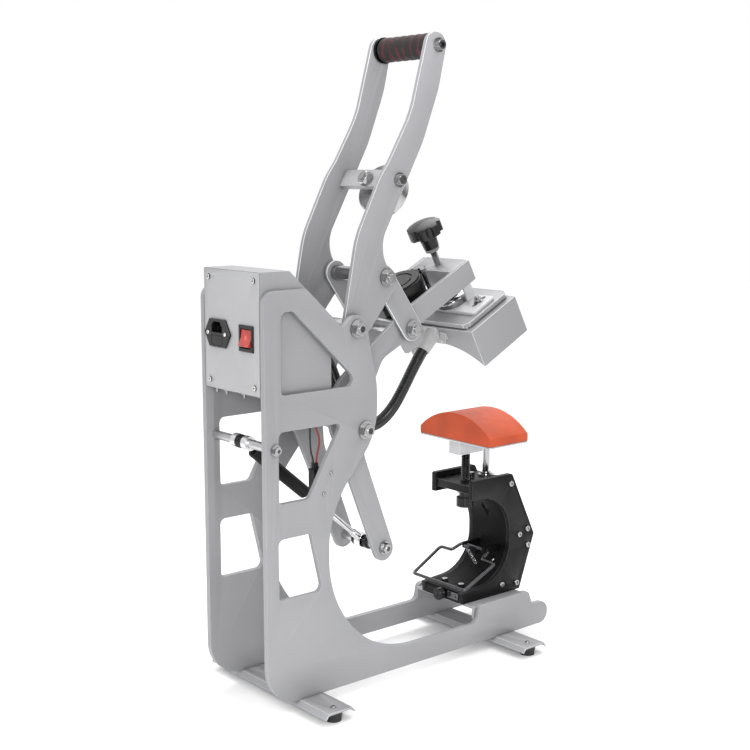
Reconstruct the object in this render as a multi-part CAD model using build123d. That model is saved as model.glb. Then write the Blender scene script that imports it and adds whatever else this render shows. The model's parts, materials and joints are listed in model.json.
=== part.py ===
from build123d import *
import os
from math import acos, atan2, cos, degrees, hypot, pi, radians, sin, sqrt, tan

# Cap heat press: a hand-closed press whose curved heated head swings down onto a
# curved silicone-topped platen that holds the front of a cap.
# X runs across the machine, the operator stands at -Y, and Z is up.
# Everything is drawn with Y = 0 at the rear edge and Z = 0 at the bottom edge of the
# side plates, in the open position, and is moved to the origin when it is written.

# ------------------------------------------------------------ driving sizes, mm
# frame
frame_width = 142.0  # over the outer faces of the side plates
frame_depth = 523.5  # side plates, front to rear
frame_height = 538.0  # side plates, bottom edge to top edge
side_thick = 8.0
rail_height = 30.5  # low run of the side plates between column and deck
deck_rise = 56.0  # side plates' edge beside the deck
foot_length = 265.0
foot_drop = 17.0  # side plates' bottom edge above the floor
# linkage
handle_thick = 6.0
link_thick = 5.0
head_thick = 6.0
link_width = 34.0
shaft_radius = 8.0  # handle, main and link-top shafts
link_shaft_radius = 7.0
lever_rod_radius = 6.0
stud_radius = 5.0  # threaded ends of the shafts
small_stud_radius = 3.0
head_travel = 28.0  # degrees about the main shaft, open to closed
# head and platens
head_centre = -430.0  # Y of head and lower platen when the press is closed
head_width = 154.0
head_depth = 97.0
head_height = 60.0
arch_radius = 110.0  # curve of the silicone pad's top
pad_width = 150.0
pad_depth = 80.0
pad_rise = 40.8  # pad's crown above its plate
pad_plate_thick = 3.0
magnet_radius = 34.0
magnet_height = 43.0
armature_radius = 35.0
armature_thick = 33.0
screw_radius = 5.0  # pressure screw
pressure_travel = 6.0  # how far its knob raises the heated head
bridge_thick = 8.0  # plate that the pressure screw passes through
height_screw_radius = 7.0
guide_radius = 5.5
knob_radius = 25.0
sleeve_radius = 10.5  # tubes over the handle's shafts
# cap bracket
bracket_width = 88.0
bracket_thick = 8.0
bracket_bore = 62.0  # throat radius
# control box
box_height = 156.0
box_wall = 1.5
box_above = 23.0  # top of the box over the side plates
# hose
hose_radius = 8.5
wire_radius = 1.3
# fits
running = 0.05  # radial clearance of a part that turns or slides on another
side_gap = 1.0  # between plates that swing past each other
seat = 0.3  # clearance of moving parts that come together

# ------------------------------------------------------------ derived places
inner_x = frame_width / 2 - side_thick
handle_x = inner_x - 3.0
link_x = handle_x - handle_thick - side_gap
head_x = link_x - link_thick - side_gap
yoke_x = head_x - head_thick

main_pivot = (-161.7, frame_height - 192.4)


def from_main(dy, dz):
    return (main_pivot[0] + dy, main_pivot[1] + dz)


handle_pivot = from_main(13.3, 136.1)
link_top = from_main(-46.3, 198.9)
link_bottom = from_main(-98.2, 125.5)
lever_end = from_main(-53.5, -176.5)
spring_anchor = from_main(146.3, -7.4)


def turned(point, centre, angle):
    """A (y, z) point turned about +X by angle degrees."""
    dy, dz = point[0] - centre[0], point[1] - centre[1]
    c, s = cos(radians(angle)), sin(radians(angle))
    return (centre[0] + dy * c - dz * s, centre[1] + dy * s + dz * c)


def distance(a, b):
    return hypot(b[0] - a[0], b[1] - a[1])


def bearing(a, b):
    return degrees(atan2(b[1] - a[1], b[0] - a[0])) % 360


def closing_angle():
    """Handle swing that brings the head level, a little short of dead centre."""
    bottom = turned(link_bottom, main_pivot, head_travel)
    crank, link = distance(handle_pivot, link_top), distance(link_top, link_bottom)
    span = distance(handle_pivot, bottom)
    corner = degrees(acos((crank**2 + span**2 - link**2) / (2 * crank * span)))
    return bearing(handle_pivot, bottom) - corner - bearing(handle_pivot, link_top)


handle_travel = closing_angle()
head_top = main_pivot[1] + 14.2  # all heights from here to the magnet are with the head level
head_bottom = head_top - head_height
crown = main_pivot[1] - 14.4
pad_crown = crown - seat
pad_base = pad_crown - pad_rise
arm_bottom = main_pivot[1] + 59.9
arm_top = arm_bottom + 31.0
magnet_face = main_pivot[1] + 109.4
magnet_y = head_centre + 78.5
bracket_top = pad_base - pad_plate_thick - 52.1
deck_top = deck_rise - 4.0
deck_front, deck_rear = head_centre - 50.0, head_centre + 57.0
origin_shift = (0, frame_depth / 2, foot_drop)

nodes = {}


# ------------------------------------------------------------ helpers
def add(name, *shapes):
    nodes.setdefault(name, []).extend(s for shape in shapes for s in shape.solids())


def outline(corners):
    """Face from (u, v, corner radius) points."""
    points = [(u, v) for u, v, _ in corners]
    return make_face(FilletPolyline(*points, radius=[r for _, _, r in corners], close=True))


def slab(corners, x0, x1):
    """Plate lying across X, from rounded (y, z, radius) corners."""
    return extrude(Plane.YZ.offset(x0) * outline(corners), x1 - x0)


def block(x0, x1, y0, y1, z0, z1):
    size = Box(x1 - x0, y1 - y0, z1 - z0)
    return Pos((x0 + x1) / 2, (y0 + y1) / 2, (z0 + z1) / 2) * size


def along_x(shape, x, point):
    """Puts a shape drawn on Z from its base onto the X direction."""
    return Pos(x, point[0], point[1]) * Rot(0, 90, 0) * shape


def post(radius, height):
    return Cylinder(radius, height, align=(Align.CENTER, Align.CENTER, Align.MIN))


def rod(radius, x0, x1, point):
    return along_x(post(radius, x1 - x0), x0, point)


def ring(outer, bore, x0, x1, point):
    return rod(outer, x0, x1, point) - rod(bore, x0 - 1, x1 + 1, point)


def upright(radius, z0, z1, x, y):
    return Pos(x, y, z0) * post(radius, z1 - z0)


def hexagon(flats, height):
    return extrude(RegularPolygon(flats / 2, 6, major_radius=False), height)


def bevelled_hexagon(flats, height):
    """Nut or bolt head on Z whose upper corners are turned off."""
    turned_blank = post(flats * 0.58, height)
    top = turned_blank.edges().filter_by(GeomType.CIRCLE).sort_by(Axis.Z)[-1]
    return hexagon(flats, height) & chamfer(top, flats * 0.055, flats * 0.1)


def threaded(radius, z0, z1, x, y, pitch, depth):
    """Upright screw with V grooves, one to each pitch."""
    turns = int((z1 - z0) / pitch - 0.01)
    points = [(0, z0), (radius, z0)]
    for i in range(turns):
        points += [(radius - depth, z0 + (i + 0.5) * pitch), (radius, z0 + (i + 1) * pitch)]
    points += [(radius, z1), (0, z1)]
    profile = make_face(Plane.XZ * Polyline(*points, close=True))
    return Pos(x, y, 0) * revolve(profile, Axis.Z)


def both(*shapes):
    """Each shape and its mirror image across the middle of the machine."""
    return [s for shape in shapes for s in (shape, mirror(shape, about=Plane.YZ))]


def nut_x(x, point, radius, flats, thick=7.0):
    """Washer and hexagon nut on a stud that points along +X."""
    washer = ring(flats * 0.72, radius + running, x, x + 2, point)
    nut = along_x(bevelled_hexagon(flats, thick), x + 2, point)
    nut -= rod(radius + running, x, x + 20, point)
    return washer + nut


def cap_screw_x(x, point, radius, reach):
    """Button head on +X with a shank that runs back along X."""
    head = along_x(post(radius * 1.8, radius * 1.1), x, point)
    head = fillet(head.edges().filter_by(GeomType.CIRCLE).sort_by(Axis.X)[-1], radius * 0.55)
    socket = along_x(hexagon(radius * 1.6, radius), x + radius * 0.2, point)
    return head - socket + rod(radius, x - reach, x, point)


def level(*shapes):
    """Tips shapes drawn with the head level up to the open position."""
    move = Pos(0, *main_pivot) * Rot(-head_travel, 0, 0) * Pos(0, -main_pivot[0], -main_pivot[1])
    return [move * shape for shape in shapes]


def lifted(*shapes):
    """Swings shapes drawn with the handle down up to the open position."""
    move = Pos(0, *handle_pivot) * Rot(-handle_travel, 0, 0) * Pos(0, -handle_pivot[0], -handle_pivot[1])
    return [move * shape for shape in shapes]


# ------------------------------------------------------------ frame
bar_holes_y = (head_centre - 1.5, -69.5)  # centre lines of the front and rear foot bars
plate_screw_dy = 10.0
plate_mid_x = inner_x + side_thick / 2
switch_holes = (from_main(57.4, -49.5), from_main(69.9, -75.5))


def side_corners():
    dy, dz = main_pivot
    ay, az = handle_pivot
    column = -100.0
    waist = dz - 102.6
    throat = min(150.0, waist - rail_height - 55.0)
    front = -frame_depth
    return [
        (0, 0, 50),
        (front, 0, 16),
        (front, 33.5, 16),
        (front + 33.5, 33.5, 10),
        (front + 42.5, deck_rise, 7),
        (deck_rear - 6, deck_rise, 7),
        (deck_rear - 1, rail_height, 10),
        (column, rail_height, throat),
        (column, waist, 137),
        (dy - 20.3, dz - 5.6, 97),
        (dy - 20.3, dz + 59.4, 150),
        (ay - 12.1, az + 17.3, 14),
        (ay + 8.9, az + 17.3, 14),
        (ay + 24.4, az + 2.8, 5),
        (-65.7, frame_height, 8),
        (0, frame_height, 17),
    ]


def side_windows():
    dz = main_pivot[1]
    top, sill = frame_height - 27, frame_height - 132
    return [
        [(-25.5, sill, 6), (-25.5, top, 10), (-45.5, top, 5), (-156, sill, 10)],
        [(-20.5, dz - 78.6, 6), (-20.5, dz + 14.4, 8), (-123, dz + 14.4, 5), (-69, dz - 78.6, 7)],
        [(-19, dz - 205.6, 6), (-19, dz - 124.6, 8), (-71, dz - 124.6, 6), (-90, dz - 205.6, 9)],
    ]


def side_plate():
    """Left side plate, drawn at -X."""
    x0, x1 = -frame_width / 2, -inner_x
    plate = slab(side_corners(), x0, x1)
    for window in side_windows():
        plate -= slab(window, x0 - 1, x1 + 1)
    for point, radius in (
        (main_pivot, stud_radius),
        (handle_pivot, stud_radius),
        (spring_anchor, small_stud_radius),
    ):
        plate -= rod(radius + running, x0 - 1, x1 + 1, point)
    for y in bar_holes_y:
        for dy in (-plate_screw_dy, plate_screw_dy):
            plate -= upright(2.5 + running, -1, 13, -plate_mid_x, y + dy)
    return plate


def frame_parts():
    left = side_plate()
    add("side_plate_right", mirror(left, about=Plane.YZ))
    for point in switch_holes:
        left -= rod(1.5 + running, -frame_width, 0, point)
    add("side_plate_left", left)

    # foot bars: shallow channels with flared sides, on rubber feet
    bar_top, bar_flare, bar_depth, bar_thick = 19.0, 24.5, 7.0, 2.5
    section = make_face(
        Polyline(
            (-bar_top, 0), (bar_top, 0), (bar_flare, -bar_depth), (-bar_flare, -bar_depth), close=True
        )
    )
    section -= Pos(0, -bar_thick) * section
    foot_x = foot_length / 2 - 15.5
    for y in bar_holes_y:
        bar = extrude(Plane.YZ.offset(-foot_length / 2) * Pos(y, 0) * section, foot_length)
        for x in (-foot_x, foot_x):
            bar -= upright(2.5 + running, -10, 1, x, y)
            foot = Pos(x, y, -foot_drop) * Cone(
                10.5, 12, foot_drop - bar_thick, align=(Align.CENTER, Align.CENTER, Align.MIN)
            )
            add("rubber_feet", foot - upright(2.5 + running, -11, 0, x, y))
            screw = upright(3.6, 0, 1.8, x, y)
            screw = fillet(screw.edges().sort_by(Axis.Z)[-1], 1.2) + upright(2.5, -10.5, 0, x, y)
            add("frame_screws", screw - Pos(x, y, 0.8) * hexagon(2.5, 2))
        for x in (-plate_mid_x, plate_mid_x):
            for dy in (-plate_screw_dy, plate_screw_dy):
                bar -= upright(2.5 + running, -10, 1, x, y + dy)
                screw = upright(4.5, -bar_thick - 2.5, -bar_thick, x, y + dy)
                add("frame_screws", screw + upright(2.5, -bar_thick, 12, x, y + dy))
        add("foot_bars", bar)

    # deck: folded sheet between the side plates that carries the cap bracket
    deck_thick = 3.0
    deck = block(-inner_x, inner_x, deck_front, deck_rear, deck_top - deck_thick, deck_top)
    flange = block(inner_x - deck_thick, inner_x, deck_front, deck_rear, 34, deck_top)
    deck += flange + mirror(flange, about=Plane.YZ)
    for x, y, top in base_screws:
        deck -= upright(3 + running, deck_top - 10, deck_top + 1, x, y)
        screw = upright(5, deck_top - deck_thick - 3, deck_top - deck_thick, x, y)
        screw += upright(3, deck_top - deck_thick, top, x, y)
        if top > deck_top + 9:
            screw += Pos(x, y, top - 0.6) * bevelled_hexagon(9, 3.5)
        add("frame_screws", screw)
    add("deck_plate", deck)


def shaft(radius, reach, stud, point, x_end):
    """Shouldered shaft with a threaded stud at each end."""
    body = rod(radius, -reach, reach, point) + rod(stud, -x_end, x_end, point)
    return chamfer(body.edges().filter_by(GeomType.CIRCLE).group_by(Axis.X)[0], 0.8)


def frame_shafts():
    outer = frame_width / 2
    add("frame_shafts", shaft(shaft_radius, inner_x, stud_radius, main_pivot, outer + 11))
    add("frame_shafts", shaft(shaft_radius, inner_x, stud_radius, handle_pivot, outer + 11))
    add("frame_shafts", shaft(6.0, inner_x, small_stud_radius, spring_anchor, outer + 8))
    for point in (main_pivot, handle_pivot):
        add("shaft_spacers_and_nuts", *both(nut_x(outer, point, stud_radius, 17.0)))
    add("shaft_spacers_and_nuts", *both(nut_x(outer, spring_anchor, small_stud_radius, 10.0, 5.0)))
    bore = shaft_radius + running
    main_spacer = ring(13, bore, head_x + seat, inner_x, main_pivot)
    handle_spacer = ring(14, bore, handle_x + seat, inner_x, handle_pivot)
    collar = ring(9.5, 6 + running, 6.5 + seat, 17, spring_anchor)
    add("shaft_spacers_and_nuts", *both(main_spacer, handle_spacer, collar))
    reach = handle_x - handle_thick - seat
    add("frame_shafts", ring(sleeve_radius, bore, -reach, reach, handle_pivot))


# ------------------------------------------------------------ control box
box_x = inner_x
cover_x = box_x - 1.5
box_top = frame_height + box_above
box_bottom = box_top - box_height
box_front = -111.0
box_ridge = -46.0
slope_foot = box_top - (box_ridge - box_front) * 105 / 110.5
cover_screw_x, cover_screw_dz = box_x - 12.5, box_height / 2 - 11.0
inlet_x, inlet_z = 29.4, box_bottom + 73.0
inlet_half, inlet_rise = 29.5, 18.0
inlet_screw = 19.7  # from the inlet centre
rocker_x, rocker_z = -34.3, box_bottom + 71.8
rocker_width, rocker_height = 22.4, 24.0
bezel_width, bezel_height = 31.0, 33.5
stud_places = ((55, -13), (32, -13), (-9, -13))


def box_profile(inset, rear):
    """Side view of the box, drawn in by inset, open to the given rear line."""
    drop = inset * tan(radians(21.8))
    return [
        (rear, box_bottom + inset, 0),
        (rear, box_top - inset, 0),
        (box_ridge - drop, box_top - inset, 0),
        (box_front + inset, slope_foot - drop, 0),
        (box_front + inset, box_bottom + inset, 0),
    ]


def control_box_parts():
    lip, cover = 12.0, box_wall
    shell = slab(box_profile(0, -cover), -box_x, box_x)
    shell -= slab(box_profile(box_wall, -cover - box_wall), -box_x + box_wall, box_x - box_wall)
    shell -= block(
        -box_x + lip, box_x - lip, -cover - 5, 0, box_bottom + lip, box_top - lip
    )  # rear mouth, inside the turned-in lip
    mid_z = box_bottom + box_height / 2
    for sx in (-1, 1):
        for sz in (-1, 1):
            spot = (sx * cover_screw_x, mid_z + sz * cover_screw_dz)
            shell -= Pos(spot[0], 0, spot[1]) * Rot(90, 0, 0) * post(1.5 + running, 10)
    shell -= Pos(hose_route[0][0], box_front - 1, hose_route[0][2]) * Rot(-90, 0, 0) * post(5, 5)
    for x, y in stud_places:
        shell -= upright(2 + running, box_bottom - 1, box_bottom + 3, x, y)
        stud = upright(2, box_bottom - 8, box_bottom + 4, x, y)
        for z, thick in ((box_bottom - 3.5, 3.5), (box_bottom + box_wall, 3)):
            stud += Pos(x, y, z) * hexagon(7, thick)
        add("frame_screws", stud)
    add("control_box", shell)

    panel = block(-cover_x, cover_x, -cover, 0, box_bottom + 1, box_top - 1)
    panel -= block(rocker_x - 13, rocker_x + 13, -5, 5, rocker_z - 14, rocker_z + 14)
    panel -= block(inlet_x - 16, inlet_x + 16, -5, 5, inlet_z - 16, inlet_z + 16)
    for sx in (-1, 1):
        inlet_hole = Pos(inlet_x + sx * inlet_screw, 5, inlet_z) * Rot(90, 0, 0) * post(1.5 + running, 12)
        panel -= inlet_hole
        add("cover_screws", cover_screw(inlet_x + sx * inlet_screw, 3.0, inlet_z, 2.6))
        for sz in (-1, 1):
            x, z = sx * cover_screw_x, mid_z + sz * cover_screw_dz
            panel -= Pos(x, 5, z) * Rot(90, 0, 0) * post(1.5 + running, 12)
            add("cover_screws", cover_screw(x, 0, z, 3.6))
    add("rear_cover", panel)
    power_inlet()
    rocker_switch()
    controller()


def cover_screw(x, y, z, radius):
    """Pan-head cross-recess screw facing the rear."""
    head = post(radius, 1.9)
    head = fillet(head.edges().sort_by(Axis.Z)[-1], 1.2)
    head -= Pos(0, 0, 1.5) * Box(radius * 1.2, 0.8, 1.6) + Pos(0, 0, 1.5) * Box(0.8, radius * 1.2, 1.6)
    screw = head + Pos(0, 0, -7) * post(1.5, 7)
    return Pos(x, y, z) * Rot(-90, 0, 0) * screw


def power_inlet():
    """Panel inlet: six-sided flange, keyed socket above, fuse drawer below."""
    flange = make_face(
        Polyline(
            (-inlet_half, 0),
            (-18, inlet_rise),
            (18, inlet_rise),
            (inlet_half, 0),
            (18, -inlet_rise),
            (-18, -inlet_rise),
            close=True,
        )
    )
    body = extrude(flange, 3)
    body = chamfer(body.edges().group_by(Axis.Z)[-1], 0.8)
    body += Pos(0, 0, -14) * Box(31.5, 31.5, 28)
    socket = make_face(Polyline((-12, 0), (-12, 9), (-7, 14), (7, 14), (12, 9), (12, 0), close=True))
    body -= Pos(0, 1, -15) * extrude(socket, 20)
    body -= Pos(0, -9, 2.8) * (Box(25, 13, 1.6) - Box(23.4, 11.4, 2))
    for sx in (-1, 1):
        body -= Pos(sx * inlet_screw, 0, -1) * post(1.5 + running, 6)
    pins = [Pos(x, z, -11) * Box(2, 4, 16) for x, z in ((-7, 5.5), (7, 5.5), (0, 10))]
    place = Pos(inlet_x, 0, inlet_z) * Rot(-90, 0, 0) * Rot(0, 0, 180)
    add("power_inlet", place * (body - pins), *[place * pin for pin in pins])


rocker_pivot = (-3.5, rocker_z)


def rocker_switch():
    """Bezel with its body, and the rocker with the lower half tipped out."""
    bezel = Pos(rocker_x, 1.1, rocker_z) * Box(bezel_width, 2.2, bezel_height)
    bezel = fillet(bezel.edges().group_by(Axis.Y)[-1], 0.9)
    bezel += Pos(rocker_x, -11, rocker_z) * Box(25.6, 22, 27.6)
    gap = 0.4
    well = Pos(rocker_x, -6, rocker_z) * Box(rocker_width + 2 * gap, 20, rocker_height + 2 * gap)
    bezel -= well
    bezel += rod(1.5, rocker_x - 12, rocker_x + 12, rocker_pivot)
    add("switch_bezel", bezel)
    half = rocker_height / 2
    py, pz = rocker_pivot
    profile = [
        (py - 5, pz - half + 4, 1),
        (py - 5, pz + half - 4, 1),
        (py + 3.8, pz + half - 0.5, 0.6),
        (py + 5.2, pz, 3),
        (py + 9.7, pz - half + 2.4, 0.8),
        (py + 2.0, pz - half + 0.3, 0.6),
    ]
    rocker = slab(profile, rocker_x - rocker_width / 2, rocker_x + rocker_width / 2)
    rocker -= rod(1.5 + running, rocker_x - 20, rocker_x + 20, rocker_pivot)
    add("rocker", rocker)


def controller():
    """Digital time and temperature controller on the sloping front of the box."""
    slope = Plane(
        origin=(0, (box_ridge + box_front) / 2, (box_top + slope_foot) / 2),
        x_dir=(1, 0, 0),
        z_dir=(0, slope_foot - box_top, box_ridge - box_front),
    )
    body = Box(86, 60, 6, align=(Align.CENTER, Align.CENTER, Align.MIN))
    body = fillet(body.edges().filter_by(Axis.Z), 5)
    body = fillet(body.edges().group_by(Axis.Z)[-1], 1.5)
    body -= Pos(0, 9, 6) * Box(60, 26, 2)
    for x in (-27, -9, 9, 27):
        body += Pos(x, -18, 6) * post(5.5, 0.8)
    add("controller", slope * body)


# ------------------------------------------------------------ limit switch
switch_low = (switch_holes[1][1] - 3.6, switch_holes[0][1] + 3.6)
switch_y = (switch_holes[0][0] - 3.2, switch_holes[1][0] + 3.8)
switch_x = (-inner_x + 8, -inner_x + 20)
plunger_z = (switch_low[0] + switch_low[1]) / 2 + 4


def limit_switch():
    """Snap switch on the left side plate, worked by the head's lever as it closes."""
    body = block(*switch_x, *switch_y, *switch_low)
    body = fillet(body.edges().filter_by(Axis.X), 1)
    mid_x = sum(switch_x) / 2
    body -= Pos(mid_x, switch_y[0] - 1, plunger_z) * Rot(-90, 0, 0) * post(2 + running, 8)
    for point in switch_holes:
        body -= rod(1.5 + running, switch_x[0] - 1, switch_x[1] + 1, point)
        spacer = ring(3, 1.5 + running, -inner_x, switch_x[0], point)
        screw = mirror(cap_screw_x(frame_width / 2, point, 1.5, 27), about=Plane.YZ)
        add("frame_screws", spacer, screw)
    for y in wire_ends:
        body += block(mid_x - 3, mid_x + 3, y - 0.5, y + 0.5, switch_low[1] - 2, switch_low[1] + 8)
    add("limit_switch", body)
    pin = Pos(mid_x, plunger_tip, plunger_z) * Rot(-90, 0, 0) * post(2, 16)
    add("switch_plunger", fillet(pin.edges().sort_by(Axis.Y)[0], 1))


wire_ends = (switch_y[1] - 3, switch_y[0] + 11)
plunger_tip = switch_y[0] - 12
wire_x = sum(switch_x) / 2


def wires():
    z_low, z_top = switch_low[1] + 8, box_bottom
    black = [(0, 0), (0, 6), (4, 15), (5, 47), (3.5, 72), (3.5, z_top - z_low)]
    red = [(0, 0), (0, 6), (-7, 29), (2.5, 49), (1, 72), (1, z_top - z_low)]
    black = [(wire_x, wire_ends[0] + dy, z_low + dz) for dy, dz in black]
    red = [(wire_x, wire_ends[1] + dy, z_low + dz) for dy, dz in red]
    add("wire_black", tube(black, wire_radius, "black wire"))
    add("wire_red", tube(red, wire_radius, "red wire"))


def tube(route, radius, name):
    """Round tube on straight runs joined by the largest arcs that the runs allow."""
    points = [Vector(*p) for p in route]
    radii = []
    for before, point, after in zip(points, points[1:], points[2:]):
        turn = (point - before).get_angle(after - point)
        shorter = min((point - before).length, (after - point).length)
        radii.append(0.45 * shorter / tan(radians(turn / 2)))
    path = FilletPolyline(*points, radius=radii)
    section = Plane(origin=points[0], z_dir=points[1] - points[0]) * Circle(radius)
    solid = sweep(section, path=path)
    ratio = solid.volume / (pi * radius**2 * path.length)
    print(f"{name}: length {path.length:.1f}, volume ratio {ratio:.4f}, radii", [round(r) for r in radii])
    return solid


# ------------------------------------------------------------ hose
gland_root = (head_centre + head_depth / 2, main_pivot[1] + 2.6)  # with the head level
gland_tip = (head_centre + 77.1, main_pivot[1] - 8.8)
hose_root = turned(gland_root, main_pivot, -head_travel)
hose_end = turned(gland_tip, main_pivot, -head_travel)
hose_lead = [tip + 0.6 * (tip - root) for root, tip in zip(hose_root, hose_end)]
hose_route = [
    (-16, box_front, main_pivot[1] + 103.4),
    (-16, box_front - 18, main_pivot[1] + 103.4),
    (-15, -148, main_pivot[1] + 78.4),
    (-13, -164, main_pivot[1] + 40.4),
    (-9, -184, main_pivot[1] + 7.4),
    (-3, -212, main_pivot[1] - 12.6),
    (3, -243, main_pivot[1] - 14.6),
    (7, -272, main_pivot[1] + 0.4),
    (9, -294, main_pivot[1] + 24.4),
    (9, *hose_lead),
    (9, *hose_end),
]


# ------------------------------------------------------------ linkage
def arm_corners():
    """Head plate with the head level: yoke arm, elbow about the main shaft, lever."""
    dy, dz = main_pivot
    ey, ez = turned(lever_end, main_pivot, head_travel)
    front = head_centre - 17.0
    return [
        (front, arm_top, 2),
        (front, arm_bottom, 2),
        (dy - 160.3, arm_bottom, 3),
        (dy - 160.3, dz + 35.4, 2),
        (dy - 126.6, dz + 34.9, 2),
        (dy - 124.3, dz + 53.0, 6),
        (dy - 85.3, dz + 54.0, 25),
        (dy - 19.3, dz + 6.4, 30),
        (dy + 3.2, dz - 42.6, 60),
        (ey - 12.9, ez - 17.6, 16.2),
        (ey + 20.1, ez - 17.6, 16.2),
        (dy + 40.2, dz - 55.6, 150),
        (dy + 30.7, dz + 63.4, 68),
        (dy - 78.3, dz + 80.9, 40),
        (dy - 154.3, arm_top, 60),
    ]


def head_frame():
    pin_level = turned(link_bottom, main_pivot, head_travel)
    end_level = turned(lever_end, main_pivot, head_travel)
    plate = slab(arm_corners(), yoke_x, head_x)
    for point, radius in (
        (main_pivot, shaft_radius),
        (pin_level, link_shaft_radius),
        (end_level, small_stud_radius + 1),
    ):
        plate -= rod(radius + running, yoke_x - 1, head_x + 1, point)
    add("head_plates", *level(*both(plate)))
    add("head_rods", *level(rod(link_shaft_radius, -head_x, head_x, pin_level)))
    sleeve = ring(sleeve_radius - 1, link_shaft_radius + running, -yoke_x, yoke_x, pin_level)
    add("head_rods", *level(sleeve))
    lever = shaft(lever_rod_radius, yoke_x, small_stud_radius + 1, end_level, head_x + 9)
    add("head_rods", *level(lever))
    collar = ring(9, lever_rod_radius + running, 8.5, 15.5, end_level)
    nuts = nut_x(head_x, end_level, small_stud_radius + 1, 13.0, 6.0)
    add("lever_collars", *level(*both(collar)))
    add("head_bolts", *level(*both(nuts)))

    # cross plates: the bridge that carries the pressure screw, and the magnet's shelf
    bridge = block(-yoke_x, yoke_x, head_centre - 17, head_centre + 17, arm_top - bridge_thick, arm_top)
    bridge += block(-yoke_x, yoke_x, head_centre + 13, head_centre + 17, arm_bottom + 2, arm_top)
    bridge -= upright(screw_radius + running, arm_top - 10, arm_top + 1, 0, head_centre)
    shelf_z = magnet_face - magnet_height
    shelf = block(-yoke_x, yoke_x, magnet_y - 48, magnet_y + 33, shelf_z - 5, shelf_z)
    shelf -= upright(4 + running, shelf_z - 6, shelf_z + 1, 0, magnet_y)
    stop_x, stop_y = -8.0, magnet_y - 42.0
    shelf -= upright(3 + running, shelf_z - 6, shelf_z + 1, stop_x, stop_y)
    add("cross_plates", *level(bridge, shelf))

    can = upright(magnet_radius, shelf_z, magnet_face - 2, 0, magnet_y)
    can -= upright(4, shelf_z - 1, shelf_z + 12, 0, magnet_y)
    rim = upright(magnet_radius - 2.5, magnet_face - 2, magnet_face, 0, magnet_y)
    groove = upright(22.5, magnet_face - 1.5, magnet_face + 1, 0, magnet_y)
    groove -= upright(19.5, magnet_face - 3, magnet_face + 2, 0, magnet_y)
    magnet = fillet(can.edges().filter_by(GeomType.CIRCLE).group_by(Axis.Z)[-1], 1.5) + rim - groove
    add("electromagnet", *level(magnet))
    holder = upright(4, shelf_z - 5, shelf_z + 11, 0, magnet_y)
    holder += Pos(0, magnet_y, shelf_z - 10) * hexagon(13, 5)
    stop = upright(3, shelf_z - 12, magnet_face - 4, stop_x, stop_y)
    for z, thick in ((shelf_z - 10, 5), (shelf_z, 5), (magnet_face - 10, 5), (magnet_face - 4, 4)):
        stop += Pos(stop_x, stop_y, z) * hexagon(10, thick)
    add("head_bolts", *level(holder, stop))


def link_parts():
    """Links between handle and head, each with the outer half of its lower pin."""
    half = link_width / 2
    low, high = link_bottom, link_top
    plate = rod(half, link_x - link_thick, link_x, low) + rod(half, link_x - link_thick, link_x, high)
    span = Box(link_thick, link_width, distance(low, high))
    tilt = degrees(atan2(high[0] - low[0], high[1] - low[1]))
    middle = ((low[0] + high[0]) / 2, (low[1] + high[1]) / 2)
    plate += Pos(link_x - link_thick / 2, *middle) * Rot(-tilt, 0, 0) * span
    plate -= rod(shaft_radius + running, 0, link_x + 1, high)
    plate -= rod(stud_radius + running, 0, link_x + 1, low)
    add("link_plates", *both(plate))
    bolt = rod(stud_radius, head_x + seat, link_x + 11, low)
    add("link_bolts", *both(bolt, nut_x(link_x, low, stud_radius, 17.0)))


# ------------------------------------------------------------ handle
grip_radius = 17.0
bar_level = (magnet_y - 3, magnet_face + seat + armature_thick + 13.7)
bar_point = turned(bar_level, handle_pivot, -handle_travel)
bar_width, bar_thick = 25.0, 10.0
grip_axis = (bar_point[0] - 68.6, bar_point[1] + 178.0)


def handle_corners():
    """Outline about the handle's shaft below, and about the cross bar above."""
    dy, dz = main_pivot
    by, bz = bar_point
    return [
        (dy + 31.0, dz + 117.4, 15),
        (dy + 4.7, dz + 252.4, 120),
        (by + 32.4, bz + 4.0, 100),
        (by + 16.4, bz + 25.0, 100),
        (by - 20.6, bz + 87.0, 150),
        (by - 50.6, bz + 195.0, 17),
        (by - 86.6, bz + 195.0, 17),
        (by - 69.6, bz + 121.0, 150),
        (by - 41.6, bz + 50.0, 150),
        (by + 34.7, bz - 87.4, 45),
        (dy - 62.3, dz + 185.4, 10),
        (dy - 4.0, dz + 115.4, 16),
    ]


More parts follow.
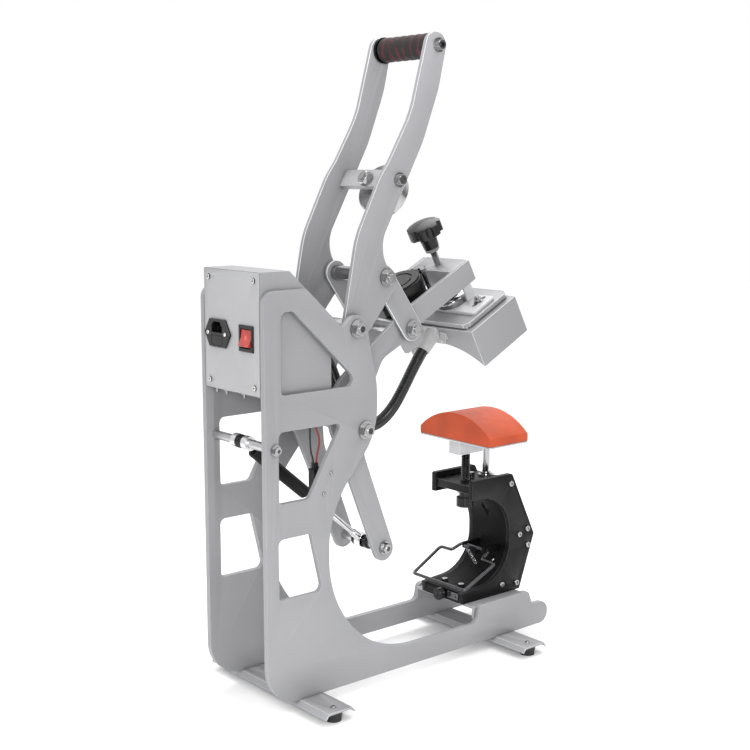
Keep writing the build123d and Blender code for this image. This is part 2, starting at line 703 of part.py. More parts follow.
def handle_parts():
    inner, outer = handle_x - handle_thick, handle_x
    plate = slab(handle_corners(), inner, outer)
    plate -= rod(shaft_radius + running, inner - 1, outer + 1, handle_pivot)
    for point, radius in (
        (link_top, stud_radius),
        (grip_axis, small_stud_radius + 1),
        (bar_point, small_stud_radius + 1),
    ):
        plate -= rod(radius + running, inner - 1, outer + 1, point)
    add("handle_plate_right", plate)
    add("handle_plate_left", mirror(plate, about=Plane.YZ))
    add("handle_bolts", shaft(shaft_radius, inner, stud_radius, link_top, outer + 11))
    add("handle_bolts", *both(nut_x(outer, link_top, stud_radius, 17.0)))
    reach = link_x - link_thick - seat
    add("handle_bolts", ring(sleeve_radius, shaft_radius + running, -reach, reach, link_top))
    add("handle_bolts", *both(nut_x(outer, grip_axis, small_stud_radius + 1, 13.0, 6.0)))

    foam = ring(grip_radius, 6 + running, -inner + 4, inner - 4, grip_axis)
    add("grip", fillet(foam.edges().filter_by(GeomType.CIRCLE).group_by(Axis.X)[0], 2))
    core = shaft(6.0, inner, small_stud_radius + 1, grip_axis, outer + 9)
    cap = ring(grip_radius + 1, 6 + running, inner - 4, inner, grip_axis)
    add("grip_rod", core, *both(cap))

    # cross bar, its screws, and the armature plate that the magnet holds
    y, z = bar_level
    bar = Pos(0, y, z) * Box(2 * inner, bar_width, bar_thick)
    bar -= upright(stud_radius + running, z - 10, z + 10, 0, magnet_y)
    tapped = rod(small_stud_radius + 1 + running, inner - 14, inner + 1, bar_level)
    for hole in both(tapped):
        bar -= hole
    add("cross_bar", *lifted(bar))
    screw = rod(small_stud_radius + 1, inner - 13, outer + 8, bar_level)
    nut = nut_x(outer, bar_level, small_stud_radius + 1, 13.0, 6.0)
    add("handle_bolts", *lifted(*both(screw + nut)))
    low = magnet_face + seat
    shoulder = low + armature_thick / 3
    face = upright(armature_radius - 2.5, low, shoulder, 0, magnet_y)
    disc = chamfer(face.edges().filter_by(GeomType.CIRCLE).sort_by(Axis.Z)[0], 3)
    disc += upright(armature_radius, shoulder, low + armature_thick, 0, magnet_y)
    disc = chamfer(disc.edges().filter_by(GeomType.CIRCLE).sort_by(Axis.Z)[-1], 2.5)
    disc -= upright(stud_radius + running, low + armature_thick - 14, low + armature_thick + 1, 0, magnet_y)
    add("armature", *lifted(disc))
    bolt = upright(stud_radius, low + armature_thick - 13, z + 17, 0, magnet_y)
    top, under = z + bar_thick / 2, z - bar_thick / 2
    washer = upright(11.5, top, top + 2, 0, magnet_y)
    bolt += washer + Pos(0, magnet_y, top + 2) * bevelled_hexagon(17, 8) + Pos(0, magnet_y, under - 8) * hexagon(17, 8)
    add("handle_bolts", *lifted(bolt))


# ------------------------------------------------------------ heated head
def arch_face(radius, half_width, base):
    """Section below an arc about the common centre of pad and head, above base."""
    centre = pad_crown - arch_radius
    face = Pos(0, centre) * Circle(radius)
    return face & (Pos(0, base + 100) * Rectangle(2 * half_width, 200))


def across_y(face, y0, y1):
    """Extrudes an XZ section from y0 to y1."""
    return extrude(Plane.XZ.offset(-y1) * face, y1 - y0)


def heated_head():
    y0, y1 = head_centre - head_depth / 2, head_centre + head_depth / 2
    half, wall = head_width / 2, 2.0
    inner_radius = arch_radius + (crown - pad_crown)
    shell = block(-half, half, y0, y1, head_bottom, head_top)
    shell -= across_y(arch_face(inner_radius + 1.2, half + 5, head_bottom - 60), y0 - 1, y1 + 1)
    cavity = block(-half + wall, half - wall, y0 + wall, y1 - wall, head_bottom - 5, head_top - wall)
    shell -= cavity
    add("head_housing", *level(shell))

    platen = block(-half + wall, half - wall, y0 + wall, y1 - wall, head_bottom - 3, head_top)
    keep = across_y(arch_face(inner_radius + 14, half, head_bottom - 60), y0, y1)
    hollow = across_y(arch_face(inner_radius, half + 5, head_bottom - 60), y0 - 1, y1 + 1)
    platen = (platen & keep) - hollow
    add("heater_platen", *level(platen))
    lid = block(-half + 9, half - 9, y0 + 2, y1 - 2, head_top + lid_step, head_top + lid_thick)
    lid = chamfer(lid.edges().filter_by(Axis.Z), 7)
    lid += block(-half + 12, half - 12, y0 + 5, y1 - 5, head_top, head_top + lid_step)
    add("head_housing", *level(lid))

    carrier_z = head_top + lid_thick
    carrier = block(-63, 63, head_centre - 23, head_centre + 22, carrier_z, carrier_z + carrier_thick)
    carrier = fillet(carrier.edges().filter_by(Axis.Z), 3)
    bolts = []
    for x in (-slot_x, slot_x):
        slot = SlotCenterToCenter(22, 7, rotation=90)
        carrier -= Pos(x, head_centre - 7, carrier_z) * extrude(slot, carrier_thick)
        top = carrier_z + carrier_thick
        bolt = upright(3, carrier_z, top + 9, x, head_centre - 7)
        bolt += upright(7, top, top + 1.2, x, head_centre - 7)
        bolts.append(bolt + Pos(x, head_centre - 7, top + 1.2) * hexagon(10, 4.5))
    stand, guide_top = carrier_z + carrier_thick, arm_top - bridge_thick - pressure_travel - 2 * seat
    for x in (-guide_plate_x, guide_plate_x):
        carrier += block(x - 2, x + 2, head_centre - 18, head_centre - 3, stand - 1, guide_top)
    add("carrier_plate", *level(carrier))
    add("carrier_bolts", *level(*bolts))

    top = carrier_z + carrier_thick
    disc = upright(24, top, top + 13, 0, head_centre)
    disc = fillet(disc.edges().filter_by(GeomType.CIRCLE).group_by(Axis.Z)[-1], 7)
    disc += upright(12, top + 12, top + 20, 0, head_centre)
    disc -= upright(screw_radius + running, top + 4, top + 22, 0, head_centre)
    add("thrust_disc", *level(disc))
    pressure_screw(top + 4)
    hose_gland()


lid_thick, lid_step, carrier_thick, slot_x = 9.0, 3.0, 5.0, 47.0
guide_plate_x = 29.0  # plates that keep the head square to the bridge


def hose_gland():
    """Straight gland from the housing's rear wall to the end of the hose."""
    x = hose_route[-1][0]
    wall_y, z = gland_root
    start = Vector(x, wall_y, z)
    axis = Vector(x, *gland_tip) - start
    length = axis.length
    body = Pos(0, 0, -6) * Cone(12, 10, length + 6, align=(Align.CENTER, Align.CENTER, Align.MIN))
    body = fillet(body.edges().filter_by(GeomType.CIRCLE).sort_by(Axis.Z)[-1], 1)
    body = Plane(origin=start, z_dir=axis) * body
    body -= block(-50, 50, wall_y - 30, wall_y, z - 40, z + 40)
    flange = block(x - 14, x + 14, wall_y, wall_y + 2.5, z - 14, z + 13)
    body += fillet(flange.edges().filter_by(Axis.Y), 4)
    # earth tab beside the gland
    tab = block(x - 30, x - 19, wall_y, wall_y + 1.5, z - 6, z + 5)
    tab += Pos(x - 24.5, wall_y + 5, z - 4) * Rot(35, 0, 0) * Box(11, 1.5, 13)
    tab += Pos(x - 24.5, wall_y + 8, z - 6) * Rot(-55, 0, 0) * post(3, 4)
    add("hose_gland", *level(body, tab))


def star_knob(radius, height, dome, hub_radius, hub_height, lobes):
    """Lobed hand knob on Z: tapered hub below, lobed head with a domed top above."""
    hub = Cone(hub_radius, hub_radius + 2, hub_height, align=(Align.CENTER, Align.CENTER, Align.MIN))
    shoulder = height - dome
    rim = (radius - 1, shoulder + 1)
    middle = (radius * 0.6, shoulder + dome * 0.66)
    top = Spline(rim, middle, (0, height), tangents=((-1, 0.5), (-1, 0)))
    side = Polyline((0, height), (0, 0), (radius, 0), (radius, shoulder), rim)
    head = Pos(0, 0, hub_height) * revolve(make_face(Plane.XZ * (side + top)), Axis.Z)
    flute = radius * 0.24
    for i in range(lobes):
        angle = 360 / lobes * i
        head -= Rot(0, 0, angle) * Pos(radius + flute * 0.35, 0, hub_height - 1) * post(flute, height + 2)
    return hub + head


def pressure_screw(foot_z):
    top = arm_top + 28
    spindle = upright(screw_radius, foot_z + seat, arm_top - 12, 0, head_centre)
    spindle += threaded(screw_radius, arm_top - 12, top - 4, 0, head_centre, 1.5, 0.7)
    spindle += upright(screw_radius, top - 4, top + 14, 0, head_centre)
    jam = Pos(0, head_centre, top - 5) * hexagon(18, 5) - upright(screw_radius, 0, 999, 0, head_centre)
    knob = Pos(0, head_centre, top) * star_knob(knob_radius, 20, 6, 11, 21, 7)
    knob -= upright(screw_radius, top - 1, top + 14, 0, head_centre)
    add("pressure_screw", *level(spindle, jam))
    add("pressure_knob", *level(knob))


# ------------------------------------------------------------ gas spring
spring_length = distance(spring_anchor, lever_end)
tube_start, tube_end, tube_radius, rod_radius = 20.0, 130.0, 9.0, 4.0
eye_bore_play = 2.0  # the rod's eye is open enough for the linkage's drift in mid-travel


def gas_spring():
    direction = Vector(0, lever_end[0] - spring_anchor[0], lever_end[1] - spring_anchor[1])
    place = Plane(origin=(0, *spring_anchor), x_dir=(1, 0, 0), z_dir=direction)
    eye = Rot(0, 90, 0) * Cylinder(9, 12) + Pos(0, 0, 5) * post(5, tube_start - 5)
    body = Pos(0, 0, tube_start) * post(tube_radius, tube_end - tube_start)
    body = fillet(body.edges().filter_by(GeomType.CIRCLE), 2.5)
    body -= Pos(0, 0, tube_start + 10) * post(6.5, tube_end - tube_start - 14)
    body -= Pos(0, 0, tube_end - 10) * post(rod_radius + running, 20)
    body = body + eye - Rot(0, 90, 0) * Cylinder(6 + running, 20)
    add("gas_cylinder", place * body)
    bore = lever_rod_radius + eye_bore_play
    end = Pos(0, 0, spring_length) * Rot(0, 90, 0) * Cylinder(bore + 3.5, 12)
    stem = Pos(0, 0, tube_end - 16) * post(rod_radius, spring_length - tube_end + 6.5)
    piston = Pos(0, 0, tube_end - 20) * post(6.3, 6)
    collar = Pos(0, 0, spring_length - 24) * post(5.5, 14)
    rod_part = end + stem + piston + collar
    rod_part -= Pos(0, 0, spring_length) * Rot(0, 90, 0) * Cylinder(bore, 20)
    add("gas_rod", place * rod_part)


# ------------------------------------------------------------ lower platen and cap bracket
screw_y = head_centre + 15.0
guide_y = head_centre - 28.0
block_bottom = pad_base - pad_plate_thick - 19.1
shelf_top = bracket_top - 9.0
shelf_thick = 12.0


def platen():
    y0, y1 = head_centre - pad_depth / 2, head_centre + pad_depth / 2
    half = pad_width / 2
    plate_z = pad_base - pad_plate_thick
    pad = across_y(arch_face(arch_radius, half, pad_base), y0, y1)
    add("pad", pad)
    plate = block(-half, half, y0, y1, plate_z, pad_base)
    add("pad_plate", fillet(plate.edges().filter_by(Axis.Z), 2))
    lug = block(-12, 12, head_centre - 9, head_centre + 39, block_bottom, plate_z)
    lug -= upright(height_screw_radius - 1.3, block_bottom - 1, block_bottom + 9, 0, screw_y)
    add("platen_block", fillet(lug.edges().filter_by(Axis.Z), 1.5))
    screw_foot, root = shelf_top - shelf_thick - 30, height_screw_radius - 1.3
    screw = threaded(height_screw_radius, screw_foot, block_bottom, 0, screw_y, 2.5, 1.3)
    add("height_screw", screw + upright(root, block_bottom - 1, block_bottom + 9, 0, screw_y))
    add("guide_rod", upright(guide_radius, shelf_top - 18, plate_z, 0, guide_y))
    bush = upright(12, shelf_top, shelf_top + 3, 0, guide_y)
    bush += upright(8.5, shelf_top, shelf_top + 6, 0, guide_y)
    stop = block(-4, 4, head_centre - 1, head_centre + 7, shelf_top, shelf_top + 10)
    add("bracket_bolts", fillet(stop.edges().filter_by(Axis.Z), 1.5))
    add("bracket_bolts", bush - upright(guide_radius + running, shelf_top - 1, shelf_top + 9, 0, guide_y))

    # hand nut that raises and lowers the screw
    top = shelf_top - shelf_thick - seat
    nut = upright(9.5, top - 14, top, 0, screw_y) + upright(13.5, top - 28, top - 14, 0, screw_y)
    for i in range(12):
        angle = radians(30 * i)
        nut -= upright(1.8, top - 29, top - 13.9, 14 * cos(angle), screw_y + 14 * sin(angle))
    add("height_knob", nut - upright(height_screw_radius + running, top - 30, top + 1, 0, screw_y))


lip_height, floor_rise, throat_roof = 16.0, 6.0, bracket_top - 29
throat_rear, throat_back = head_centre + 63.0, head_centre - 36.5
throat_radius = min(bracket_bore, (throat_roof - deck_top - lip_height - floor_rise) / 2 - 1)


def throat_floor(y):
    """Height of the C's sloping floor, short of its curve."""
    return deck_top + lip_height + floor_rise * (throat_rear - y) / (throat_rear - throat_back)


def throat_corners(grow):
    """Inside of the C, open to the rear; grow moves it outwards."""
    r = throat_radius + grow
    return [
        (throat_rear, throat_floor(throat_rear) - grow, 0),
        (throat_back - grow, throat_floor(throat_back) - grow, r),
        (throat_back - grow, throat_roof + grow, r),
        (throat_rear, throat_roof + grow, 0),
    ]


# screws that hold the bracket down; the rear pair comes up through its floor
base_screws = [(x, deck_front + 22, deck_top + 9) for x in (-18.0, 18.0)]
base_screws += [(x, deck_rear - 18, throat_floor(deck_rear - 18) + 1) for x in (-18.0, 18.0)]


def bracket():
    half = bracket_width / 2
    inner = half - bracket_thick
    rear, nose = head_centre + 61.0, head_centre - 89.5
    corners = [
        (head_centre + 43, bracket_top, 3),
        (head_centre - 40, bracket_top, 6),
        (nose, (bracket_top + deck_top) / 2 - 9.5, 3),
        (head_centre - 59, deck_top, 1),
        (rear, deck_top, 1),
        (rear + 2, throat_floor(rear) + 1, 0.5),
        (head_centre + 43, throat_floor(rear) + 10, 1),
    ]
    plate = slab(corners, inner, half) - slab(throat_corners(0), inner - 1, half + 1)
    shelf = block(-inner, inner, head_centre - 42, head_centre + 41, shelf_top - shelf_thick, shelf_top)
    shelf -= upright(height_screw_radius + seat, shelf_top - 20, shelf_top + 1, 0, screw_y)
    shelf -= upright(guide_radius + running, shelf_top - 20, shelf_top + 1, 0, guide_y)
    add("bracket_shelf", shelf)

    wall = 4.0
    liner = slab(throat_corners(wall), -inner, inner) - slab(throat_corners(0), -inner - 1, inner + 1)
    liner &= block(-inner, inner, nose, rear, 40, shelf_top - shelf_thick)
    liner -= block(-60, 60, head_centre + 17, rear + 5, 120, bracket_top)
    liner -= upright(guide_radius + 1, 120, bracket_top, 0, guide_y)
    liner -= upright(height_screw_radius + 8, 120, bracket_top, 0, screw_y)
    for x, y, _ in base_screws:
        liner -= upright(3 + running, deck_top, throat_roof - 40, x, y)
    for x in (-13, 13):
        for lean in (12, 35, 58, 81):
            middle = (throat_back + throat_radius, throat_floor(throat_back) + throat_radius)
            liner -= Pos(x, *middle) * Rot(180 - lean, 0, 0) * post(1.2, throat_radius + wall + 3)
    hinge_y, hinge_z = bail_hinge
    for x in (-21, 21):
        lug = block(x - 2.5, x + 2.5, hinge_y - 40, hinge_y + 4.5, hinge_z - 5, hinge_z + 4.5)
        liner += lug & slab(throat_corners(1), -60, 60)
    liner -= rod(wire + running, -60, 60, bail_hinge)
    add("bracket_liner", liner)
    base = block(-inner, inner, head_centre - 58, rear, deck_top, deck_top + 20)
    base -= slab(throat_corners(wall), -60, 60)
    for x, y, top in base_screws:
        base -= upright(3 + running, deck_top - 1, top + 1, x, y)
    base -= Pos(thumb[0], rear + 1, thumb[1]) * Rot(90, 0, 0) * post(3 + running, 16)
    add("bracket_base", base)

    shelf_bolt = (head_centre - 36.9, shelf_top - 6)
    base_bolt = (head_centre - 52, deck_top + 11)
    rear_bolt = (head_centre - 20.2, deck_top + 14)
    spacers = [
        (head_centre - 74.2, (bracket_top + deck_top) / 2 + 0.5),
        (head_centre - 57.0, (bracket_top + deck_top) / 2 - 5.7),
        (head_centre - 75.7, (bracket_top + deck_top) / 2 - 25),
    ]
    for point in [shelf_bolt, base_bolt, rear_bolt] + spacers:
        plate -= rod(2.5 + running, inner - 1, half + 1, point)
        add("bracket_bolts", *both(cap_screw_x(half, point, 2.5, bracket_thick)))
    for point in spacers:
        add("bracket_bolts", rod(5, -inner, inner, point))
    latch = block(-inner + 0.5, -13, rear, rear + 1.6, deck_top + 4, deck_top + 14.5)
    for x in (-inner + 5, -19):
        latch -= Pos(x, rear + 2, deck_top + 9) * Rot(90, 0, 0) * post(1.6, 4)
    add("bracket_bolts", latch)
    add("bracket_plates", *both(plate))

    knob = Rot(90, 0, 0) * star_knob(9, 9, 1.5, 5, 4, 6)
    knob = Pos(thumb[0], rear + 0.3, thumb[1]) * Rot(0, 0, 180) * knob
    knob += Pos(thumb[0], rear + 0.3, thumb[1]) * Rot(90, 0, 0) * post(3, 12)
    add("thumb_knob", knob)


thumb = (-2.0, deck_top + 8.0)
wire = 2.5
bail_hinge = (head_centre - 7.0, deck_top + 65.0)


def bail():
    """Spring-loaded wire frame that keeps the cap's peak out of the way."""
    hy, hz = bail_hinge
    path = FilletPolyline(
        (29, hy, hz),
        (33, hy + 18, hz - 8),
        (59, hy + 17, hz - 9),
        (56, hy + 76, hz - 39),
        (-56, hy + 76, hz - 39),
        (-59, hy + 17, hz - 9),
        (-33, hy + 18, hz - 8),
        (-29, hy, hz),
        radius=5,
        close=True,
    )
    start = path.edges()[0]
    section = Plane(origin=start @ 0, z_dir=start % 0) * Circle(wire)
    frame = sweep(section, path=path)
    crank = Pos(0, hy + 7, hz + 1) * Rot(12, 0, 0) * Box(4, 16, 3)
    eye = rod(2.2, -2, 9, (hy + 14, hz + 2.5))
    add("bail", frame + crank + eye)
    foot = (hy - 7.8, hz - 28)
    top = (hy + 14, hz + 2.5)
    lean = degrees(atan2(top[0] - foot[0], top[1] - foot[1]))
    coil = Pos(5.5, *foot) * Rot(-lean, 0, 0) * post(2.6, distance(top, foot) - 2.5)
    add("bail_spring", coil)


# ------------------------------------------------------------ build
frame_parts()
frame_shafts()
control_box_parts()
limit_switch()
wires()
add("hose", tube(hose_route, hose_radius, "hose"))
head_frame()
link_parts()
handle_parts()
heated_head()
gas_spring()
platen()
bracket()
bail()

os.makedirs("parts", exist_ok=True)
for name, solids in nodes.items():
    moved = [Pos(*origin_shift) * solid for solid in solids]
    export_step(moved[0] if len(moved) == 1 else Compound(moved), f"parts/{name}.step")
print(len(nodes), "nodes", round(handle_travel, 3), "degrees of handle travel")
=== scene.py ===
"""Finishes a cap heat press: its paint, metals, moulded plastics, hose, wires, pad, grip and springs."""

import json
from math import atan2, cos, pi, radians, sin, sqrt, tau

import bmesh
import bpy
from bpy.props import FloatProperty, FloatVectorProperty, IntProperty, PointerProperty
from mathutils import Matrix, Quaternion, Vector


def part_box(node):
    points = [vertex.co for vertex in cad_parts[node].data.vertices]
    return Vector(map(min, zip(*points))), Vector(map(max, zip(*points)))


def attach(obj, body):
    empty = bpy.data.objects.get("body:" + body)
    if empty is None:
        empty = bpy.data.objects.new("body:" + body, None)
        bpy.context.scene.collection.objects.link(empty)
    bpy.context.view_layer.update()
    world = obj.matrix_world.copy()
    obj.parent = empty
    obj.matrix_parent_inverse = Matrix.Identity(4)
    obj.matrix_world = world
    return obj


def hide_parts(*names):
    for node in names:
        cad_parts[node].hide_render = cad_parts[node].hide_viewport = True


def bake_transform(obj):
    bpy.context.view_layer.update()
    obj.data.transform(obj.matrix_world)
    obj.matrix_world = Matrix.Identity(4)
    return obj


bl_info = {
    "name": "Cap Heat Press",
    "version": (1, 0, 0),
    "blender": (4, 5, 0),
    "location": "3D View > Sidebar > Cap Press",
    "description": "Builds the finishes and soft parts of a cap heat press on its solid frame",
    "category": "Object",
}

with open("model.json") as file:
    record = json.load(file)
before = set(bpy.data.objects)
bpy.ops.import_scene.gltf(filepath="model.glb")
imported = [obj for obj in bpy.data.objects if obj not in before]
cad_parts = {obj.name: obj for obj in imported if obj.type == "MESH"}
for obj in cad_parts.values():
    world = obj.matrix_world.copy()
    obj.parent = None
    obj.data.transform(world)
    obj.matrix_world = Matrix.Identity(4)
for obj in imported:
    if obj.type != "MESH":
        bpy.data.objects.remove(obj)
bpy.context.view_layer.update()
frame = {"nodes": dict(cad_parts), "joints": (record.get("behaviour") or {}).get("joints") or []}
NODES = frame["nodes"]
JOINTS = {joint["name"]: joint for joint in frame["joints"]}
MAIN_SHAFT = Vector(JOINTS["head_lift"]["pos_m"])
HEAD_SLOPE = radians(28)  # of the open head
MM = 0.001
WELD = 0.00002  # how near the corners of a solid's loose triangles are joined
Z_AXIS = Vector((0, 0, 1))
FINISHES = {}


# ---------------------------------------------------------------- settings
def colour_setting(name, description, default):
    return FloatVectorProperty(
        name=name, description=description, default=default, min=0, max=1, size=3, subtype="COLOR"
    )


def length_setting(name, description, default):
    return FloatProperty(
        name=name, description=description, default=default, min=0, unit="LENGTH", subtype="DISTANCE"
    )


def strength_setting(name, description, default):
    return FloatProperty(name=name, description=description, default=default, min=0)


def power_setting(name, description, default):
    return FloatProperty(name=name, description=description, default=default, min=0, unit="POWER")


def angle_setting(name, description, default):
    return FloatProperty(name=name, description=description, default=default, subtype="ANGLE")


def count_setting(name, description, default, most):
    return IntProperty(name=name, description=description, default=default, min=1, max=most)


class PaintSettings(bpy.types.PropertyGroup):
    """Colours of paints, plastics and soft parts."""

    silver: colour_setting("Silver", "Powder coat of the frame and arms", (0.285, 0.285, 0.298))
    light: colour_setting(
        "Light silver", "Powder coat of the rear cover and cross bar", (0.385, 0.385, 0.394)
    )
    white: colour_setting("White", "Powder coat of the carrier and the pad's block", (0.54, 0.54, 0.55))
    # painted highlight: near-white on the rounded edges of the silver plates
    edge: colour_setting("Bright edge", "Rounded edges of the silver plates", (0.86, 0.86, 0.87))
    black: colour_setting("Black", "Powder coat of the cap bracket", (0.0055, 0.0055, 0.006))
    # painted highlight: grey on the rounded edges of the black plates
    black_edge: colour_setting("Highlight edge", "Rounded edges of the black plates", (0.17, 0.17, 0.175))
    plastic: colour_setting("Plastic", "Moulded knobs, bezels and hose", (0.009, 0.009, 0.010))
    pale: colour_setting("Pale plastic", "Hose gland", (0.50, 0.50, 0.50))
    panel: colour_setting("Panel grey", "Controller housing", (0.10, 0.105, 0.11))
    silicone: colour_setting("Silicone", "Lower pad", (0.50, 0.074, 0.024))
    foam: colour_setting("Foam", "Grip between its stripes", (0.011, 0.009, 0.009))
    stripe: colour_setting("Stripe", "Stripes of the grip", (0.085, 0.006, 0.016))
    rocker: colour_setting("Rocker", "Lit rocker of the switch", (0.40, 0.030, 0.022))
    red_wire: colour_setting("Red wire", "Insulation of the live wire", (0.24, 0.022, 0.018))


class PieceSettings(bpy.types.PropertyGroup):
    """Sizes of the pieces that are built on the solid frame."""

    plate_edge: length_setting("Plate edge", "Width of the broken edge of plates", 0.0009)
    pad_edge: length_setting("Pad edge", "Radius of the pad's edges", 0.0016)
    rib_pitch: length_setting("Rib pitch", "Distance between the hose's ribs", 0.0027)
    rib_depth: length_setting("Rib depth", "Depth of the hose's grooves", 0.0011)
    stripe_count: count_setting("Stripes", "Stripes of the grip", 6, 12)
    spring_wire: length_setting("Spring wire", "Wire radius of the bail's spring", 0.0004)
    spring_turns: count_setting("Spring turns", "Turns of the bail's spring", 14, 40)


class StageSettings(bpy.types.PropertyGroup):
    """Camera, floor and lights."""

    lens: FloatProperty(name="Lens", description="Focal length", default=61.99, min=10, unit="CAMERA")
    camera: FloatVectorProperty(
        name="Camera",
        description="Place of the camera",
        default=(-1.363158, 1.166373, 0.699516),
        subtype="TRANSLATION",
    )
    heading: angle_setting("Heading", "Turn of the view from +X towards -Y", 0.697424)
    dip: angle_setting("Dip", "Tilt of the view below level", 0.155903)
    floor: colour_setting("Floor", "Colour of the floor", (0.93, 0.93, 0.93))
    bright: strength_setting("Backdrop", "Strength of the surroundings behind", 1.0)
    dim: strength_setting("Room", "Strength of the surroundings in front", 0.22)
    ceiling: strength_setting("Ceiling", "Strength of the surroundings above", 1.35)
    top: power_setting("Top", "Power of the light above", 32.0)
    key: power_setting("Key", "Power of the key light", 13.5)
    fill: power_setting("Fill", "Power of the fill light", 6.0)
    low_spot: power_setting("Low", "Power of the light on the base", 80.0)
    high_spot: power_setting("High", "Power of the light on the handle", 190.0)


# ---------------------------------------------------------------- shading steps
class Shading:
    """Shader nodes that are laid down one at a time."""

    def __init__(self, tree):
        self.tree = tree

    def node(self, kind, inputs=(), **settings):
        made = self.tree.nodes.new(kind)
        for key, value in settings.items():
            setattr(made, key, value)
        for key, value in dict(inputs).items():
            self.feed(made.inputs[key], value)
        return made

    def feed(self, socket, value):
        if isinstance(value, bpy.types.NodeSocket):
            self.tree.links.new(value, socket)
        else:
            socket.default_value = value

    def span(self, value, low, high, start=0.3, end=0.7):
        """Maps a pattern between start and end onto low and high."""
        inputs = {"Value": value, "From Min": start, "From Max": end, "To Min": low, "To Max": high}
        return self.node("ShaderNodeMapRange", inputs).outputs["Result"]

    def maths(self, operation, a, b):
        return self.node("ShaderNodeMath", {0: a, 1: b}, operation=operation).outputs["Value"]

    def coordinate(self, vector, axis):
        return self.node("ShaderNodeSeparateXYZ", {"Vector": vector}).outputs[axis]

    def along(self, vector, direction):
        """How far a vector reaches along a direction."""
        made = self.node("ShaderNodeVectorMath", {0: vector, 1: direction}, operation="DOT_PRODUCT")
        return made.outputs["Value"]


class Finish(Shading):
    """A material and its shader nodes."""

    def __init__(self, name):
        self.material = bpy.data.materials.new(name)
        self.material.use_nodes = True
        super().__init__(self.material.node_tree)
        self.shader = self.tree.nodes["Principled BSDF"]
        self.place = self.node("ShaderNodeTexCoord").outputs["Object"]
        self.bumps = None
        FINISHES[name] = self.material

    def set(self, **inputs):
        for key, value in inputs.items():
            self.feed(self.shader.inputs[key.replace("_", " ")], value)

    def stretched(self, scale):
        """Object coordinates stretched along the axes, for turned marks."""
        return self.node("ShaderNodeMapping", {"Vector": self.place, "Scale": scale}).outputs["Vector"]

    def noise(self, scale, detail=2.0, place=None, roughness=0.5):
        inputs = {"Vector": place or self.place, "Scale": scale, "Detail": detail, "Roughness": roughness}
        return self.node("ShaderNodeTexNoise", inputs).outputs["Fac"]

    def distance_from(self, point):
        """Distance of each spot from a point."""
        inputs = {0: self.place, 1: point}
        return self.node("ShaderNodeVectorMath", inputs, operation="DISTANCE").outputs["Value"]

    def facing(self, axis):
        """How squarely each face looks along an axis."""
        return self.coordinate(self.node("ShaderNodeNewGeometry").outputs["Normal"], axis)

    def off_middle(self, axis, middle=0.0):
        """Distance of each spot from a plane across an axis."""
        offset = self.maths("SUBTRACT", self.coordinate(self.place, axis), middle)
        return self.maths("ABSOLUTE", offset, 0)

    def shades(self, factor, dark, light):
        ramp = self.node("ShaderNodeValToRGB", {"Fac": factor})
        ramp.color_ramp.elements[0].position, ramp.color_ramp.elements[1].position = 0.3, 0.7
        ramp.color_ramp.elements[0].color = (*dark, 1)
        ramp.color_ramp.elements[1].color = (*light, 1)
        return ramp.outputs["Color"]

    def cloudy(self, colour, scale, detail, dark, light=1.0):
        """A colour that drifts between two shades of itself."""
        return self.shades(self.noise(scale, detail), scaled(colour, dark), scaled(colour, light))

    def mixed(self, factor, a, b):
        mix = self.node("ShaderNodeMix", data_type="RGBA")
        self.feed(mix.inputs["Factor"], factor)
        self.feed(mix.inputs["A"], a if isinstance(a, bpy.types.NodeSocket) else (*a, 1))
        self.feed(mix.inputs["B"], b if isinstance(b, bpy.types.NodeSocket) else (*b, 1))
        return mix.outputs["Result"]

    def bump(self, height, distance, strength=1.0):
        inputs = {"Height": height, "Distance": distance, "Strength": strength}
        if self.bumps:
            inputs["Normal"] = self.bumps
        self.bumps = self.node("ShaderNodeBump", inputs).outputs["Normal"]
        self.feed(self.shader.inputs["Normal"], self.bumps)


def scaled(colour, factor):
    return tuple(min(1.0, channel * factor) for channel in colour)


# ---------------------------------------------------------------- finishes
DUST = (0.75, 0.74, 0.72)
# painted shade: paint within this distance of another face is drawn darker
CREVICE = 0.007  # how near another face darkens the paint


def powder_coat(name, colour, gloss=0.42, dust=0.04, shine=0.5):
    """Baked powder paint: orange peel, mottling, a trace of dust on top, and painted shade in tight
    corners.
    """
    finish = Finish(name)
    upward = finish.span(finish.facing("Z"), 0, dust, 0.5, 1.0)
    settled = finish.maths("MULTIPLY", upward, finish.span(finish.noise(35.0, 4.0), 0, 1))
    dusty = finish.mixed(settled, finish.cloudy(colour, 9.0, 3.0, 0.965, 1.035), DUST)
    # painted shade: near other faces the colour turns to a darker copy of itself
    open_air = finish.node("ShaderNodeAmbientOcclusion", {"Distance": CREVICE}, samples=8).outputs["AO"]
    painted_shade_mask = finish.span(open_air, 1, 0, 0.25, 0.85)
    finish.set(Base_Color=finish.mixed(painted_shade_mask, dusty, scaled(colour, 0.55)))
    finish.set(Roughness=finish.span(finish.noise(60.0, 2.0), gloss - 0.04, gloss + 0.05))
    finish.set(Specular_IOR_Level=shine)
    finish.bump(finish.noise(1400.0, 1.0), 0.00006, 0.35)
    finish.bump(finish.noise(320.0, 2.0), 0.00010, 0.18)
    return finish


def plated(name, colour, roughness):
    """Zinc or chrome plate with faint cloudy tones and fine handling marks."""
    finish = Finish(name)
    finish.set(Base_Color=finish.cloudy(colour, 110.0, 3.0, 0.88), Metallic=1.0)
    finish.set(Roughness=finish.span(finish.noise(260.0, 3.0), roughness * 0.7, roughness * 1.35))
    finish.bump(finish.noise(900.0, 2.0), 0.00004, 0.25)
    return finish


